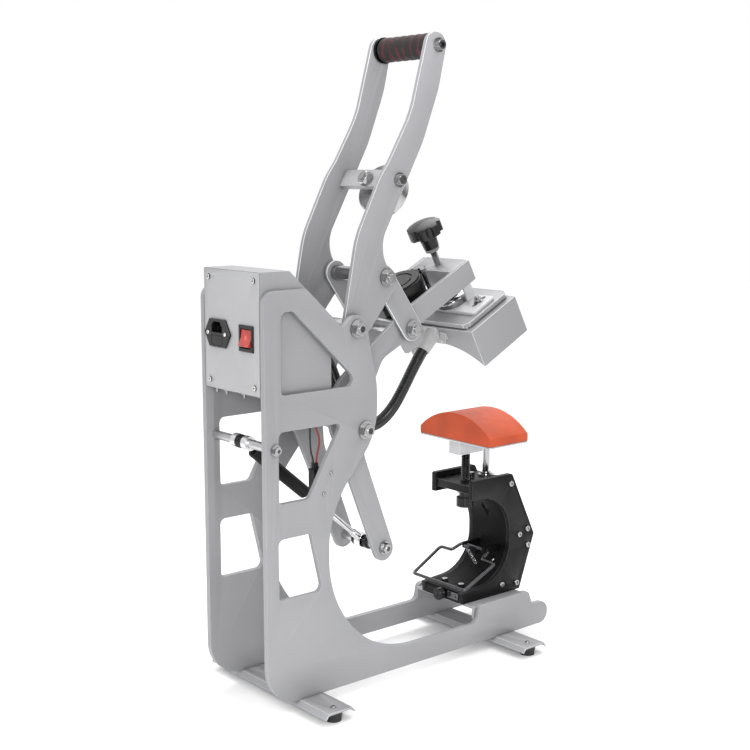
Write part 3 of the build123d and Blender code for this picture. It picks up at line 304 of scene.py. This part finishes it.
def nuts_and_sleeves(name, colour, sleeve_half):
    """Bright zinc outside the frame's middle, and satin zinc on the sleeves within it."""
    bright, satin = 0.12, 0.36
    finish = plated(name, colour, bright)
    outside = finish.span(finish.off_middle("X"), 0, 1, sleeve_half, sleeve_half + 0.001)
    zinc = finish.cloudy(colour, 110.0, 3.0, 0.85)
    finish.set(Base_Color=finish.mixed(outside, (0.80, 0.80, 0.81), zinc))
    finish.set(Roughness=finish.span(outside, satin, bright, 0, 1))
    return finish


def recessed_head(name, plate, head_height):
    """Bright zinc on the outer face of screws on a rear plate, with painted shade, near black, in the
    recesses and on the rims.
    """
    finish = plated(name, (0.80, 0.80, 0.79), 0.22)
    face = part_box(plate)[1].y + head_height
    outer = finish.span(finish.coordinate(finish.place, "Y"), 0, 1, face - 0.0006, face - 0.0003)
    zinc = finish.shades(finish.noise(300.0, 3.0), (0.62, 0.62, 0.61), (0.86, 0.86, 0.85))
    # painted shade: everything below the outer face is near black
    finish.set(Base_Color=finish.mixed(outer, (0.05, 0.05, 0.05), zinc))
    return finish


def pole_faced(name, colour):
    """Black enamel on the magnet's body, and bare ground iron on its pole face."""
    finish = moulded(name, colour, 0.24, 1100.0, 0.00002, 0.35)
    facing = finish.node("ShaderNodeTexCoord").outputs["Normal"]
    pole = finish.span(finish.along(facing, (0, -sin(HEAD_SLOPE), cos(HEAD_SLOPE))), 0, 1, 0.96, 0.99)
    iron = finish.shades(finish.noise(140.0, 3.0), (0.19, 0.19, 0.195), (0.26, 0.26, 0.265))
    finish.set(Base_Color=finish.mixed(pole, colour, iron), Metallic=finish.maths("MULTIPLY", pole, 0.75))
    return finish


def turned_metal(name, colour, roughness, stretch, ends=1.0):
    """Metal with fine tool marks across the stretched axis; ends scales the colour of its faces across X,
    which paints shade on them where it is below one.
    """
    finish = Finish(name)
    marks = finish.noise(1.0, 3.0, finish.stretched(stretch), 0.6)
    end = finish.span(finish.maths("ABSOLUTE", finish.facing("X"), 0), 0, 1, 0.6, 0.9)
    body = finish.shades(marks, scaled(colour, 0.88), colour)
    # painted shade: the faces across X are drawn darker by ends
    finish.set(Base_Color=finish.mixed(end, body, scaled(colour, ends)), Metallic=1.0)
    finish.set(Roughness=finish.span(marks, roughness * 0.75, roughness * 1.3))
    finish.bump(marks, 0.00003, 0.3)
    return finish


def moulded(name, colour, roughness, grain=900.0, depth=0.00005, shine=0.5):
    """Moulded plastic with a fine spark-eroded grain."""
    finish = Finish(name)
    finish.set(Specular_IOR_Level=shine)
    finish.set(Base_Color=finish.cloudy(colour, 45.0, 2.0, 0.85, 1.2))
    finish.set(Roughness=finish.span(finish.noise(grain * 0.4, 2.0), roughness - 0.05, roughness + 0.07))
    finish.bump(finish.noise(grain, 2.0), depth, 0.4)
    return finish


def soft_skin(name, colour, roughness, pore, depth):
    """Silicone, rubber or foam with a pored skin."""
    finish = Finish(name)
    cells = finish.node("ShaderNodeTexVoronoi", {"Vector": finish.place, "Scale": pore}).outputs["Distance"]
    finish.set(Base_Color=finish.cloudy(colour, 28.0, 4.0, 0.86, 1.1))
    finish.set(Roughness=finish.span(finish.noise(90.0, 2.0), roughness - 0.05, roughness + 0.05))
    finish.bump(cells, depth, 0.35)
    finish.bump(finish.noise(18.0, 2.0), 0.0004, 0.12)
    return finish


def striped_foam(name, colour, stripe, count):
    """Foam of the grip, with printed rings that waver and fade, and bare ends."""
    finish = soft_skin(name, colour, 0.74, 1300.0, 0.00014)
    middle, low, high = centre_of("grip")
    half = high.x
    waves = {"Vector": finish.place, "Scale": pi / 10 * count / (2 * half - 0.012), "Distortion": 2.2}
    waves.update({"Detail": 1.0, "Detail Scale": 3.0})
    rings = finish.node("ShaderNodeTexWave", waves, bands_direction="X").outputs["Fac"]
    worn = finish.span(finish.noise(70.0, 2.0), 0, 1, 0.36, 0.56)
    printed = finish.maths("MULTIPLY", finish.span(rings, 0, 1, 0.66, 0.94), worn)
    inside = finish.span(finish.off_middle("X", middle.x), 1, 0, half - 0.011, half - 0.008)
    bare = finish.cloudy(colour, 28.0, 4.0, 0.8, 1.2)
    finish.set(Base_Color=finish.mixed(finish.maths("MULTIPLY", printed, inside), bare, stripe))
    return finish


def lit_plastic(name, colour, node):
    """Translucent red plastic with a lamp behind its middle."""
    finish = moulded(name, colour, 0.20, 1200.0, 0.00002)
    lamp = centre_of(node)[0] + Vector((0, 0, 0.001))
    near = finish.distance_from(lamp)
    glow = finish.mixed(finish.span(near, 1, 0, 0.0015, 0.0075), scaled(colour, 0.7), (1.0, 0.13, 0.08))
    core = finish.mixed(finish.span(near, 1, 0, 0.0008, 0.0040), glow, (1.0, 0.80, 0.55))
    mottled = finish.span(finish.noise(420.0, 2.0), 0.12, 0.75)
    strength = finish.maths("MULTIPLY", mottled, finish.span(near, 1.3, 0.35, 0.001, 0.0065))
    finish.set(Emission_Color=core, Emission_Strength=strength, Coat_Weight=0.6)
    return finish


PLATED = {  # colour, roughness
    "zinc": ((0.40, 0.40, 0.405), 0.14),
    "chrome": ((0.80, 0.80, 0.81), 0.07),
    "dark_chrome": ((0.34, 0.34, 0.35), 0.10),
    "disc_steel": ((0.50, 0.50, 0.51), 0.20),
    "black_oxide": ((0.035, 0.035, 0.04), 0.28),
    "dark_zinc": ((0.10, 0.10, 0.105), 0.30),
}
# the shade of the ends is painted shade on the end faces where it is below one
TURNED = {  # colour, roughness, stretch of the tool marks, shade of the ends
    "steel": ((0.62, 0.62, 0.63), 0.36, (300.0, 40.0, 40.0), 0.14),
    "ground_steel": ((0.46, 0.46, 0.47), 0.16, (1200.0, 1200.0, 30.0), 1.0),
    "dark_steel": ((0.20, 0.20, 0.205), 0.34, (60.0, 60.0, 300.0), 1.0),
    "aluminium": ((0.66, 0.66, 0.67), 0.34, (40.0, 900.0, 900.0), 1.0),
}


def make_finishes():
    paint = bpy.context.scene.press_paint
    powder_coat("silver_paint", paint.silver)
    powder_coat("light_paint", paint.light, 0.45)
    powder_coat("white_paint", paint.white, 0.45)
    # painted highlight on the rounded edges of plates
    powder_coat("silver_edge", paint.edge, 0.36, 0.0)
    powder_coat("black_paint", paint.black, 0.44, 0.01, 0.22)
    powder_coat("liner_paint", scaled(paint.black, 0.6), 0.52, 0.0, 0.10)
    powder_coat("black_edge", paint.black_edge, 0.36, 0.0)
    for name, (colour, roughness) in PLATED.items():
        plated(name, colour, roughness)
    for name, (colour, roughness, stretch, ends) in TURNED.items():
        turned_metal(name, colour, roughness, stretch, ends)
    nuts_and_sleeves("sleeve_zinc", PLATED["zinc"][0], sleeve_half=0.045)
    recessed_head("screw_zinc", "rear_cover", head_height=0.0019)
    pole_faced("magnet_paint", tuple(paint.black))
    moulded("black_plastic", scaled(paint.plastic, 0.9), 0.30, shine=0.40)
    moulded("grey_plastic", paint.panel, 0.42)
    moulded("grey_plastic_light", paint.pale, 0.42)
    moulded("hose_plastic", paint.plastic, 0.28, 700.0, 0.00002, 0.55)
    moulded("black_wire", paint.plastic, 0.34, 1500.0, 0.00002)
    moulded("red_wire", paint.red_wire, 0.32, 1500.0, 0.00002)
    lit_plastic("red_rocker", paint.rocker, "rocker")
    soft_skin("rubber", (0.014, 0.014, 0.014), 0.62, 900.0, 0.00006)
    silicone = soft_skin("silicone", paint.silicone, 0.46, 700.0, 0.00008)
    silicone.set(Specular_IOR_Level=0.25, Subsurface_Weight=0.10)
    silicone.set(Subsurface_Radius=(0.003, 0.001, 0.0005), Subsurface_Scale=1.0)
    striped_foam("foam", paint.foam, tuple(paint.stripe), bpy.context.scene.press_pieces.stripe_count)


NODE_FINISH = {
    "silver_paint": (
        "side_plate_left",
        "side_plate_right",
        "deck_plate",
        "control_box",
        "head_plates",
        "cross_plates",
        "head_housing",
        "link_plates",
        "foot_bars",
        "handle_plate_left",
        "handle_plate_right",
    ),
    "light_paint": ("rear_cover", "cross_bar"),
    "white_paint": ("carrier_plate", "platen_block"),
    "black_paint": ("bracket_plates", "bracket_shelf", "bracket_base", "gas_cylinder"),
    "liner_paint": ("bracket_liner",),
    "magnet_paint": ("electromagnet",),
    "zinc": ("frame_screws", "head_bolts", "handle_bolts", "link_bolts", "carrier_bolts", "bracket_bolts"),
    "sleeve_zinc": ("shaft_spacers_and_nuts",),
    "screw_zinc": ("cover_screws",),
    "steel": ("frame_shafts", "head_rods"),
    "ground_steel": ("guide_rod",),
    "dark_steel": ("pressure_screw",),
    "disc_steel": ("armature",),
    "dark_chrome": ("thrust_disc",),
    "chrome": ("gas_rod",),
    "aluminium": ("pad_plate", "heater_platen"),
    "black_oxide": ("lever_collars", "grip_rod"),
    "dark_zinc": ("bail", "height_screw"),
    "black_plastic": (
        "power_inlet",
        "switch_bezel",
        "limit_switch",
        "pressure_knob",
        "thumb_knob",
        "height_knob",
    ),
    "grey_plastic": ("controller", "switch_plunger"),
    "grey_plastic_light": ("hose_gland",),
    "rubber": ("rubber_feet",),
    "red_rocker": ("rocker",),
}
# painted highlight: a lighter finish on the plates' rounded edges
EDGE_HIGHLIGHT = {  # of plates' rounded edges; None leaves them in the plate's own finish
    "silver_paint": "silver_edge",
    "light_paint": "silver_edge",
    "white_paint": "silver_edge",
    "black_paint": "black_edge",
    "aluminium": None,
}
PLAIN_EDGED = ("bracket_base", "gas_cylinder", "heater_platen")  # in these finishes, but not plates


# ---------------------------------------------------------------- shared modelling steps
def break_edges(obj, width, edge):
    """Joins a solid's loose triangles and rounds its sharp edges, in a finish of their own, which is a
    painted highlight where one is given.
    """
    weld = obj.modifiers.new("Weld", "WELD")
    weld.merge_threshold = WELD
    flat = obj.modifiers.new("Flat faces", "DECIMATE")
    flat.decimate_type = "DISSOLVE"
    flat.angle_limit = radians(0.5)
    bevel = obj.modifiers.new("Edges", "BEVEL")
    bevel.width = width
    bevel.segments = 2
    bevel.limit_method = "ANGLE"
    bevel.angle_limit = radians(40)
    bevel.harden_normals = True
    if edge:
        obj.data.materials.append(FINISHES[edge])
        bevel.material = 1
    for polygon in obj.data.polygons:
        polygon.use_smooth = True


def finished(name, bm, body, finish):
    """Makes a bmesh a smooth object at the origin, which moves with a body if one is given."""
    bmesh.ops.recalc_face_normals(bm, faces=bm.faces)
    mesh = bpy.data.meshes.new(name)
    bm.to_mesh(mesh)
    bm.free()
    obj = bpy.data.objects.new(name, mesh)
    bpy.context.scene.collection.objects.link(obj)
    mesh.materials.append(FINISHES[finish])
    for polygon in mesh.polygons:
        polygon.use_smooth = True
    if body:
        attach(obj, body)
    return obj


def upright_at(point, direction):
    """Matrix that stands a piece drawn on Z at a point, along a direction."""
    turn = Z_AXIS.rotation_difference(direction.normalized()).to_matrix().to_4x4()
    return Matrix.Translation(point) @ turn


def centre_of(node):
    low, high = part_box(node)
    return (low + high) / 2, low, high


def revolved(bm, profile, steps):
    """Spins (radius, height) points about Z."""
    points = [bm.verts.new((r, 0, z)) for r, z in profile]
    edges = [bm.edges.new(pair) for pair in zip(points, points[1:])]
    bmesh.ops.spin(
        bm, geom=points + edges, cent=(0, 0, 0), axis=(0, 0, 1), angle=tau, steps=steps, use_merge=True
    )
    bmesh.ops.remove_doubles(bm, verts=bm.verts, dist=0.000005)


def helix(bm, radius, wire, pitch, turns, steps_per_turn, sides):
    """Coil of round wire about Z, from a disc that is spun with a rise."""
    place = Matrix.Translation((radius, 0, 0)) @ Matrix.Rotation(pi / 2, 4, "X")
    made = bmesh.ops.create_circle(bm, cap_ends=True, segments=sides, radius=wire, matrix=place)
    steps = int(turns * steps_per_turn)
    geom = made["verts"] + list({e for v in made["verts"] for e in v.link_edges})
    geom += list({f for v in made["verts"] for f in v.link_faces})
    bmesh.ops.spin(
        bm,
        geom=geom,
        cent=(0, 0, 0),
        axis=(0, 0, 1),
        dvec=(0, 0, pitch * turns / steps),
        angle=tau * turns,
        steps=steps,
    )


def route_curve(name, points, radius):
    """Smooth line through space with the route's points as its controls."""
    curve = bpy.data.curves.new(name, "CURVE")
    curve.dimensions = "3D"
    spline = curve.splines.new("NURBS")
    spline.points.add(len(points) - 1)
    for target, point in zip(spline.points, points):
        target.co = (*point, 1)
    spline.order_u = 3
    spline.use_endpoint_u = True
    spline.resolution_u = 12
    curve.bevel_depth = radius
    curve.bevel_resolution = 4
    curve.use_fill_caps = True
    obj = bpy.data.objects.new(name, curve)
    bpy.context.scene.collection.objects.link(obj)
    return obj


def line_of(points, resolution):
    """Points along the route's smooth line, close together."""
    bare = route_curve("line", points, 0)
    bare.data.use_fill_caps = False
    bare.data.splines[0].resolution_u = resolution
    mesh = bpy.data.meshes.new_from_object(bare)
    line = [vertex.co.copy() for vertex in mesh.vertices]
    bpy.data.objects.remove(bare)
    bpy.data.meshes.remove(mesh)
    return line


def length_of(line):
    return sum((b - a).length for a, b in zip(line, line[1:]))


def evenly(line, spacing):
    """The line's points moved to equal distances."""
    total = length_of(line)
    count = max(2, round(total / spacing))
    step, out, gone, want = total / count, [line[0]], 0.0, total / count
    for a, b in zip(line, line[1:]):
        reach = (b - a).length
        while gone + reach >= want - 1e-9 and len(out) < count:
            out.append(a.lerp(b, (want - gone) / reach))
            want += step
        gone += reach
    return out + [line[-1]]


def tube_along(bm, line, radius_at, sides):
    """Closed tube whose rings stand across the line, each with its own radius."""
    rings, turn, before = [], Quaternion(), Z_AXIS
    for i, point in enumerate(line):
        ahead = line[min(i + 1, len(line) - 1)] - line[max(i - 1, 0)]
        turn = before.rotation_difference(ahead.normalized()) @ turn
        before = ahead.normalized()
        ring = bmesh.ops.create_circle(
            bm,
            cap_ends=i in (0, len(line) - 1),
            segments=sides,
            radius=radius_at(i),
            matrix=Matrix.Translation(point) @ turn.to_matrix().to_4x4(),
        )["verts"]
        rings.append({edge for vert in ring for edge in vert.link_edges})
    for a, b in zip(rings, rings[1:]):
        bmesh.ops.bridge_loops(bm, edges=[*a, *b])


# ---------------------------------------------------------------- pieces
class PRESS_OT_finishes(bpy.types.Operator):
    """Make the finishes and give each solid piece its own"""

    bl_idname = "press.finishes"
    bl_label = "Finishes"

    def execute(self, context):
        make_finishes()
        for finish, names in NODE_FINISH.items():
            for name in names:
                obj = NODES[name]
                obj.data.materials.clear()
                obj.data.materials.append(FINISHES[finish])
                if finish in EDGE_HIGHLIGHT and name not in PLAIN_EDGED:
                    break_edges(obj, context.scene.press_pieces.plate_edge, EDGE_HIGHLIGHT[finish])
        return {"FINISHED"}


PAD_ARCH = 0.110  # radius of the pad's top


class PRESS_OT_pad(bpy.types.Operator):
    """Build the silicone pad, an arched block with rounded edges"""

    bl_idname = "press.pad"
    bl_label = "Silicone pad"

    def execute(self, context):
        low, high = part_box("pad")
        half, depth = high.x, high.y - low.y
        centre = high.z - PAD_ARCH
        side = sqrt(PAD_ARCH**2 - half**2) + centre
        bm = bmesh.new()
        start = bm.verts.new((-half, low.y, side))
        reach = 2 * atan2(half, side - centre)
        bmesh.ops.spin(
            bm, geom=[start], cent=(0, low.y, centre), axis=(0, 1, 0), angle=reach, steps=64
        )
        bm.verts.ensure_lookup_table()
        ends = sorted(bm.verts, key=lambda v: v.co.x)
        corners = [bm.verts.new((end.co.x, low.y, low.z)) for end in (ends[0], ends[-1])]
        for pair in ((ends[0], corners[0]), (ends[-1], corners[1]), corners):
            bm.edges.new(pair)
        face = bmesh.ops.contextual_create(bm, geom=bm.edges[:])["faces"]
        grown = bmesh.ops.extrude_face_region(bm, geom=face)["geom"]
        moved = [v for v in grown if isinstance(v, bmesh.types.BMVert)]
        bmesh.ops.translate(bm, verts=moved, vec=(0, depth, 0))
        bmesh.ops.recalc_face_normals(bm, faces=bm.faces)
        bmesh.ops.bevel(
            bm,
            geom=[e for e in bm.edges if e.calc_face_angle(0) > radians(20)],
            offset=context.scene.press_pieces.pad_edge,
            segments=4,
            profile=0.5,
            affect="EDGES",
            material=-1,
            clamp_overlap=True,
        )
        pad = finished("silicone_pad", bm, "platen", "silicone")
        weighted = pad.modifiers.new("Normals", "WEIGHTED_NORMAL")
        weighted.keep_sharp = True
        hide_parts("pad")
        return {"FINISHED"}


GRIP_BORE = 0.0062
GRIP_WAIST = 0.0006  # how far the foam is drawn in between its stripes
GRIP_END = ((0.003, 0), (0.0012, 0.0010), (0, 0.004))  # rounded end: inwards, along


class PRESS_OT_grip(bpy.types.Operator):
    """Build the foam grip, swelled at each of its stripes"""

    bl_idname = "press.grip"
    bl_label = "Grip"

    def execute(self, context):
        stripes = context.scene.press_pieces.stripe_count
        middle, low, high = centre_of("grip")
        half, radius = high.x, (high.z - low.z) / 2
        flat = GRIP_END[-1][1]
        profile = [(GRIP_BORE, -half)] + [(radius - inwards, along - half) for inwards, along in GRIP_END]
        count = stripes * 8
        for i in range(1, count):
            t = i / count
            swell = GRIP_WAIST * (1 - cos(tau * t * stripes)) / 2
            profile.append((radius - GRIP_WAIST + swell, flat - half + t * 2 * (half - flat)))
        profile += [(radius - inwards, half - along) for inwards, along in reversed(GRIP_END)]
        profile += [(GRIP_BORE, half), profile[0]]
        bm = bmesh.new()
        revolved(bm, profile, 56)
        bmesh.ops.transform(
            bm, matrix=Matrix.Translation(middle) @ Matrix.Rotation(pi / 2, 4, "Y"), verts=bm.verts
        )
        grip = finished("foam_grip", bm, "handle", "foam")
        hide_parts("grip")
        return {"FINISHED"}


HOSE_DIAMETER = 0.017
HOSE_X = (-0.016, 0.009)  # at the control box, and at the gland
RINGS_PER_RIB = 4
PLAIN_RINGS = (3, 26)  # without ribs, at the start and in the gland
GLAND_ROOT, GLAND_TIP = Vector((0, -0.2198, 0.0026)), Vector((0, -0.1912, -0.0088))  # with the head level
LEAD_IN = 0.0185  # straight run before the gland


def hose_route():
    """From the front of the control box, round the main shaft, to the gland of the head."""
    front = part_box("control_box")[0].y
    first, last = HOSE_X
    points = [
        (first, front, 0.1034),
        (first, front - 0.018, 0.1034),
        (-0.015, 0.11375, 0.0784),
        (-0.013, 0.09775, 0.0404),
        (-0.009, 0.07775, 0.0074),
        (-0.003, 0.04975, -0.0126),
        (0.003, 0.01875, -0.0146),
        (0.007, -0.01025, 0.0004),
        (last, -0.03225, 0.0244),
    ]
    tilt = Matrix.Rotation(-HEAD_SLOPE, 3, "X")
    root, tip = MAIN_SHAFT + tilt @ GLAND_ROOT, MAIN_SHAFT + tilt @ GLAND_TIP
    end = Vector((last, tip.y, tip.z))
    return [Vector((x, y, MAIN_SHAFT.z + z)) for x, y, z in points] + [
        end + (tip - root).normalized() * LEAD_IN,
        end,
    ]


class PRESS_OT_hose(bpy.types.Operator):
    """Build the ribbed hose that carries the heater's leads"""

    bl_idname = "press.hose"
    bl_label = "Hose"

    def execute(self, context):
        sizes = context.scene.press_pieces
        line = evenly(line_of(hose_route(), 40), sizes.rib_pitch / RINGS_PER_RIB)
        outer = HOSE_DIAMETER / 2
        wave = (outer, outer, outer - sizes.rib_depth, outer - sizes.rib_depth)
        last = len(line) - 1
        start, end = PLAIN_RINGS

        def radius_at(i):
            return outer if i < start or i > last - end else wave[i % RINGS_PER_RIB]

        bm = bmesh.new()
        tube_along(bm, line, radius_at, 22)
        hose = finished("ribbed_hose", bm, None, "hose_plastic")
        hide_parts("hose")
        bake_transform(hose)
        return {"FINISHED"}


WIRE_DIAMETER = 0.0026


class PRESS_OT_wires(bpy.types.Operator):
    """Build the two wires between the limit switch and the control box"""

    bl_idname = "press.wires"
    bl_label = "Switch wires"

    def execute(self, context):
        middle, low, high = centre_of("limit_switch")
        rise = (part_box("control_box")[0].z - high.z) / MM
        routes = {  # first y, then offsets along Y and up in mm
            "wire_black": (high.y - 0.003, ((0, 0), (0, 6), (4, 15), (5, 47), (3.5, 72), (3.5, rise))),
            "wire_red": (low.y + 0.011, ((0, 0), (0, 6), (-7, 29), (2.5, 49), (1, 72), (1, rise))),
        }
        for name, (y, offsets) in routes.items():
            points = [Vector((middle.x, y + along * MM, high.z + up * MM)) for along, up in offsets]
            colour = name.replace("wire_", "")
            wire = route_curve("switch_wire_" + colour, points, WIRE_DIAMETER / 2)
            wire.data.materials.append(FINISHES[colour + "_wire"])
            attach(wire, "frame")
            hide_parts(name)
            round(length_of(line_of(points, 24)), 4)
        return {"FINISHED"}


SPRING_RADIUS = 0.0026
SPRING_INSET = Vector((0, 0.0018, 0.0010))  # of the coil's ends in the box of its solid


class PRESS_OT_bail_spring(bpy.types.Operator):
    """Build the coil spring that holds the bail down"""

    bl_idname = "press.bail_spring"
    bl_label = "Bail spring"

    def execute(self, context):
        sizes = context.scene.press_pieces
        middle, low, high = centre_of("bail_spring")
        start, end = low + SPRING_INSET, high - SPRING_INSET
        start.x = end.x = middle.x
        pitch = (end - start).length / sizes.spring_turns
        bm = bmesh.new()
        helix(bm, SPRING_RADIUS - sizes.spring_wire, sizes.spring_wire, pitch, sizes.spring_turns, 16, 6)
        bmesh.ops.transform(bm, matrix=upright_at(start, end - start), verts=bm.verts)
        spring = finished("bail_coil", bm, "frame", "zinc")
        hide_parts("bail_spring")
        return {"FINISHED"}


# ---------------------------------------------------------------- stage
FLOOR_HALF = 6.0
LIT_POINT = Vector((0, 0, 0.4))
AREA_LIGHTS = {  # side of the square, place
    "top": (2.0, (0.6, -0.8, 2.4)),
    "key": (1.0, (-0.5, 2.2, 1.6)),
    "fill": (1.0, (-2.0, -0.2, 2.2)),
}
SPOT_PLACE = Vector((-1.5, 1.3, 0.75))
SPOT_LIGHTS = {  # cone in degrees, point that it is aimed at
    "low_spot": (38, (0, 0, 0)),
    "high_spot": (27, (0, -0.1, 1.02)),
}


def place_in(scene, name, data, matrix):
    obj = bpy.data.objects.new(name, data)
    obj.matrix_world = matrix
    scene.collection.objects.link(obj)
    return obj


def set_surroundings(scene, stage):
    """Bright behind the press and above it, and dim in front of it."""
    world = scene.world or bpy.data.worlds.new("Studio")
    scene.world = world
    world.use_nodes = True
    room = Shading(world.node_tree)
    toward = room.node("ShaderNodeTexCoord").outputs["Generated"]
    behind = room.along(toward, (cos(stage.heading), -sin(stage.heading), 0))
    backdrop = room.span(behind, stage.dim, stage.bright, -0.1, 0.45)
    ceiling = room.span(room.coordinate(toward, "Z"), stage.dim, stage.ceiling, 0.2, 0.75)
    background = world.node_tree.nodes["Background"]
    background.inputs["Color"].default_value = (1, 1, 1, 1)
    room.feed(background.inputs["Strength"], room.maths("MAXIMUM", backdrop, ceiling))


def lay_floor(scene, stage):
    finish = Finish("stage_floor")
    finish.set(Base_Color=(*stage.floor, 1), Roughness=0.85)
    bm = bmesh.new()
    bmesh.ops.create_grid(bm, x_segments=1, y_segments=1, size=FLOOR_HALF)
    mesh = bpy.data.meshes.new("stage_floor")
    bm.to_mesh(mesh)
    bm.free()
    mesh.materials.append(finish.material)
    floor = place_in(scene, "stage_floor", mesh, Matrix())


def hang_lights(scene, stage):
    for name, (size, place) in AREA_LIGHTS.items():
        light = bpy.data.lights.new(name, "AREA")
        light.energy, light.size = getattr(stage, name), size
        place_in(scene, name, light, upright_at(Vector(place), Vector(place) - LIT_POINT))
    for name, (cone, aim) in SPOT_LIGHTS.items():
        light = bpy.data.lights.new(name, "SPOT")
        light.energy, light.spot_size, light.spot_blend = getattr(stage, name), radians(cone), 1.0
        light.shadow_soft_size = 0.3
        place_in(scene, name, light, upright_at(SPOT_PLACE, SPOT_PLACE - Vector(aim)))


def aim_camera(scene, stage):
    camera = bpy.data.cameras.new("Camera")
    camera.lens, camera.sensor_width = stage.lens, 36.0
    camera.clip_start = 0.01
    level = cos(stage.dip)
    look = Vector((cos(stage.heading) * level, -sin(stage.heading) * level, -sin(stage.dip)))
    turn = look.to_track_quat("-Z", "Y").to_matrix().to_4x4()
    scene.camera = place_in(scene, "Camera", camera, Matrix.Translation(stage.camera) @ turn)


class PRESS_OT_stage(bpy.types.Operator):
    """Set the floor, the soft lights and the camera"""

    bl_idname = "press.stage"
    bl_label = "Stage"

    def execute(self, context):
        scene = context.scene
        scene.view_settings.view_transform = "Standard"
        for step in (set_surroundings, lay_floor, hang_lights, aim_camera):
            step(scene, scene.press_stage)
        return {"FINISHED"}


# ---------------------------------------------------------------- add-on
OPERATORS = (
    PRESS_OT_stage,
    PRESS_OT_finishes,
    PRESS_OT_hose,
    PRESS_OT_wires,
    PRESS_OT_pad,
    PRESS_OT_grip,
    PRESS_OT_bail_spring,
)


class PRESS_PT_panel(bpy.types.Panel):
    """Lists the press's settings and the steps that build it"""

    bl_idname = "PRESS_PT_panel"
    bl_label = "Cap Heat Press"
    bl_space_type = "VIEW_3D"
    bl_region_type = "UI"
    bl_category = "Cap Press"

    def draw(self, context):
        scene = context.scene
        for group in (scene.press_paint, scene.press_pieces, scene.press_stage):
            column = self.layout.column(align=True)
            for name in group.__annotations__:
                column.prop(group, name)
        column = self.layout.column(align=True)
        for operator in OPERATORS:
            column.operator(operator.bl_idname)


CLASSES = (PaintSettings, PieceSettings, StageSettings, *OPERATORS, PRESS_PT_panel)


def register():
    for cls in CLASSES:
        bpy.utils.register_class(cls)
    bpy.types.Scene.press_paint = PointerProperty(type=PaintSettings)
    bpy.types.Scene.press_pieces = PointerProperty(type=PieceSettings)
    bpy.types.Scene.press_stage = PointerProperty(type=StageSettings)


def unregister():
    del bpy.types.Scene.press_stage
    del bpy.types.Scene.press_pieces
    del bpy.types.Scene.press_paint
    for cls in reversed(CLASSES):
        bpy.utils.unregister_class(cls)


def main():
    register()
    for operator in OPERATORS:
        group, name = operator.bl_idname.split(".")
        getattr(getattr(bpy.ops, group), name)()
    bpy.context.view_layer.update()


if __name__ == "__main__":
    main()
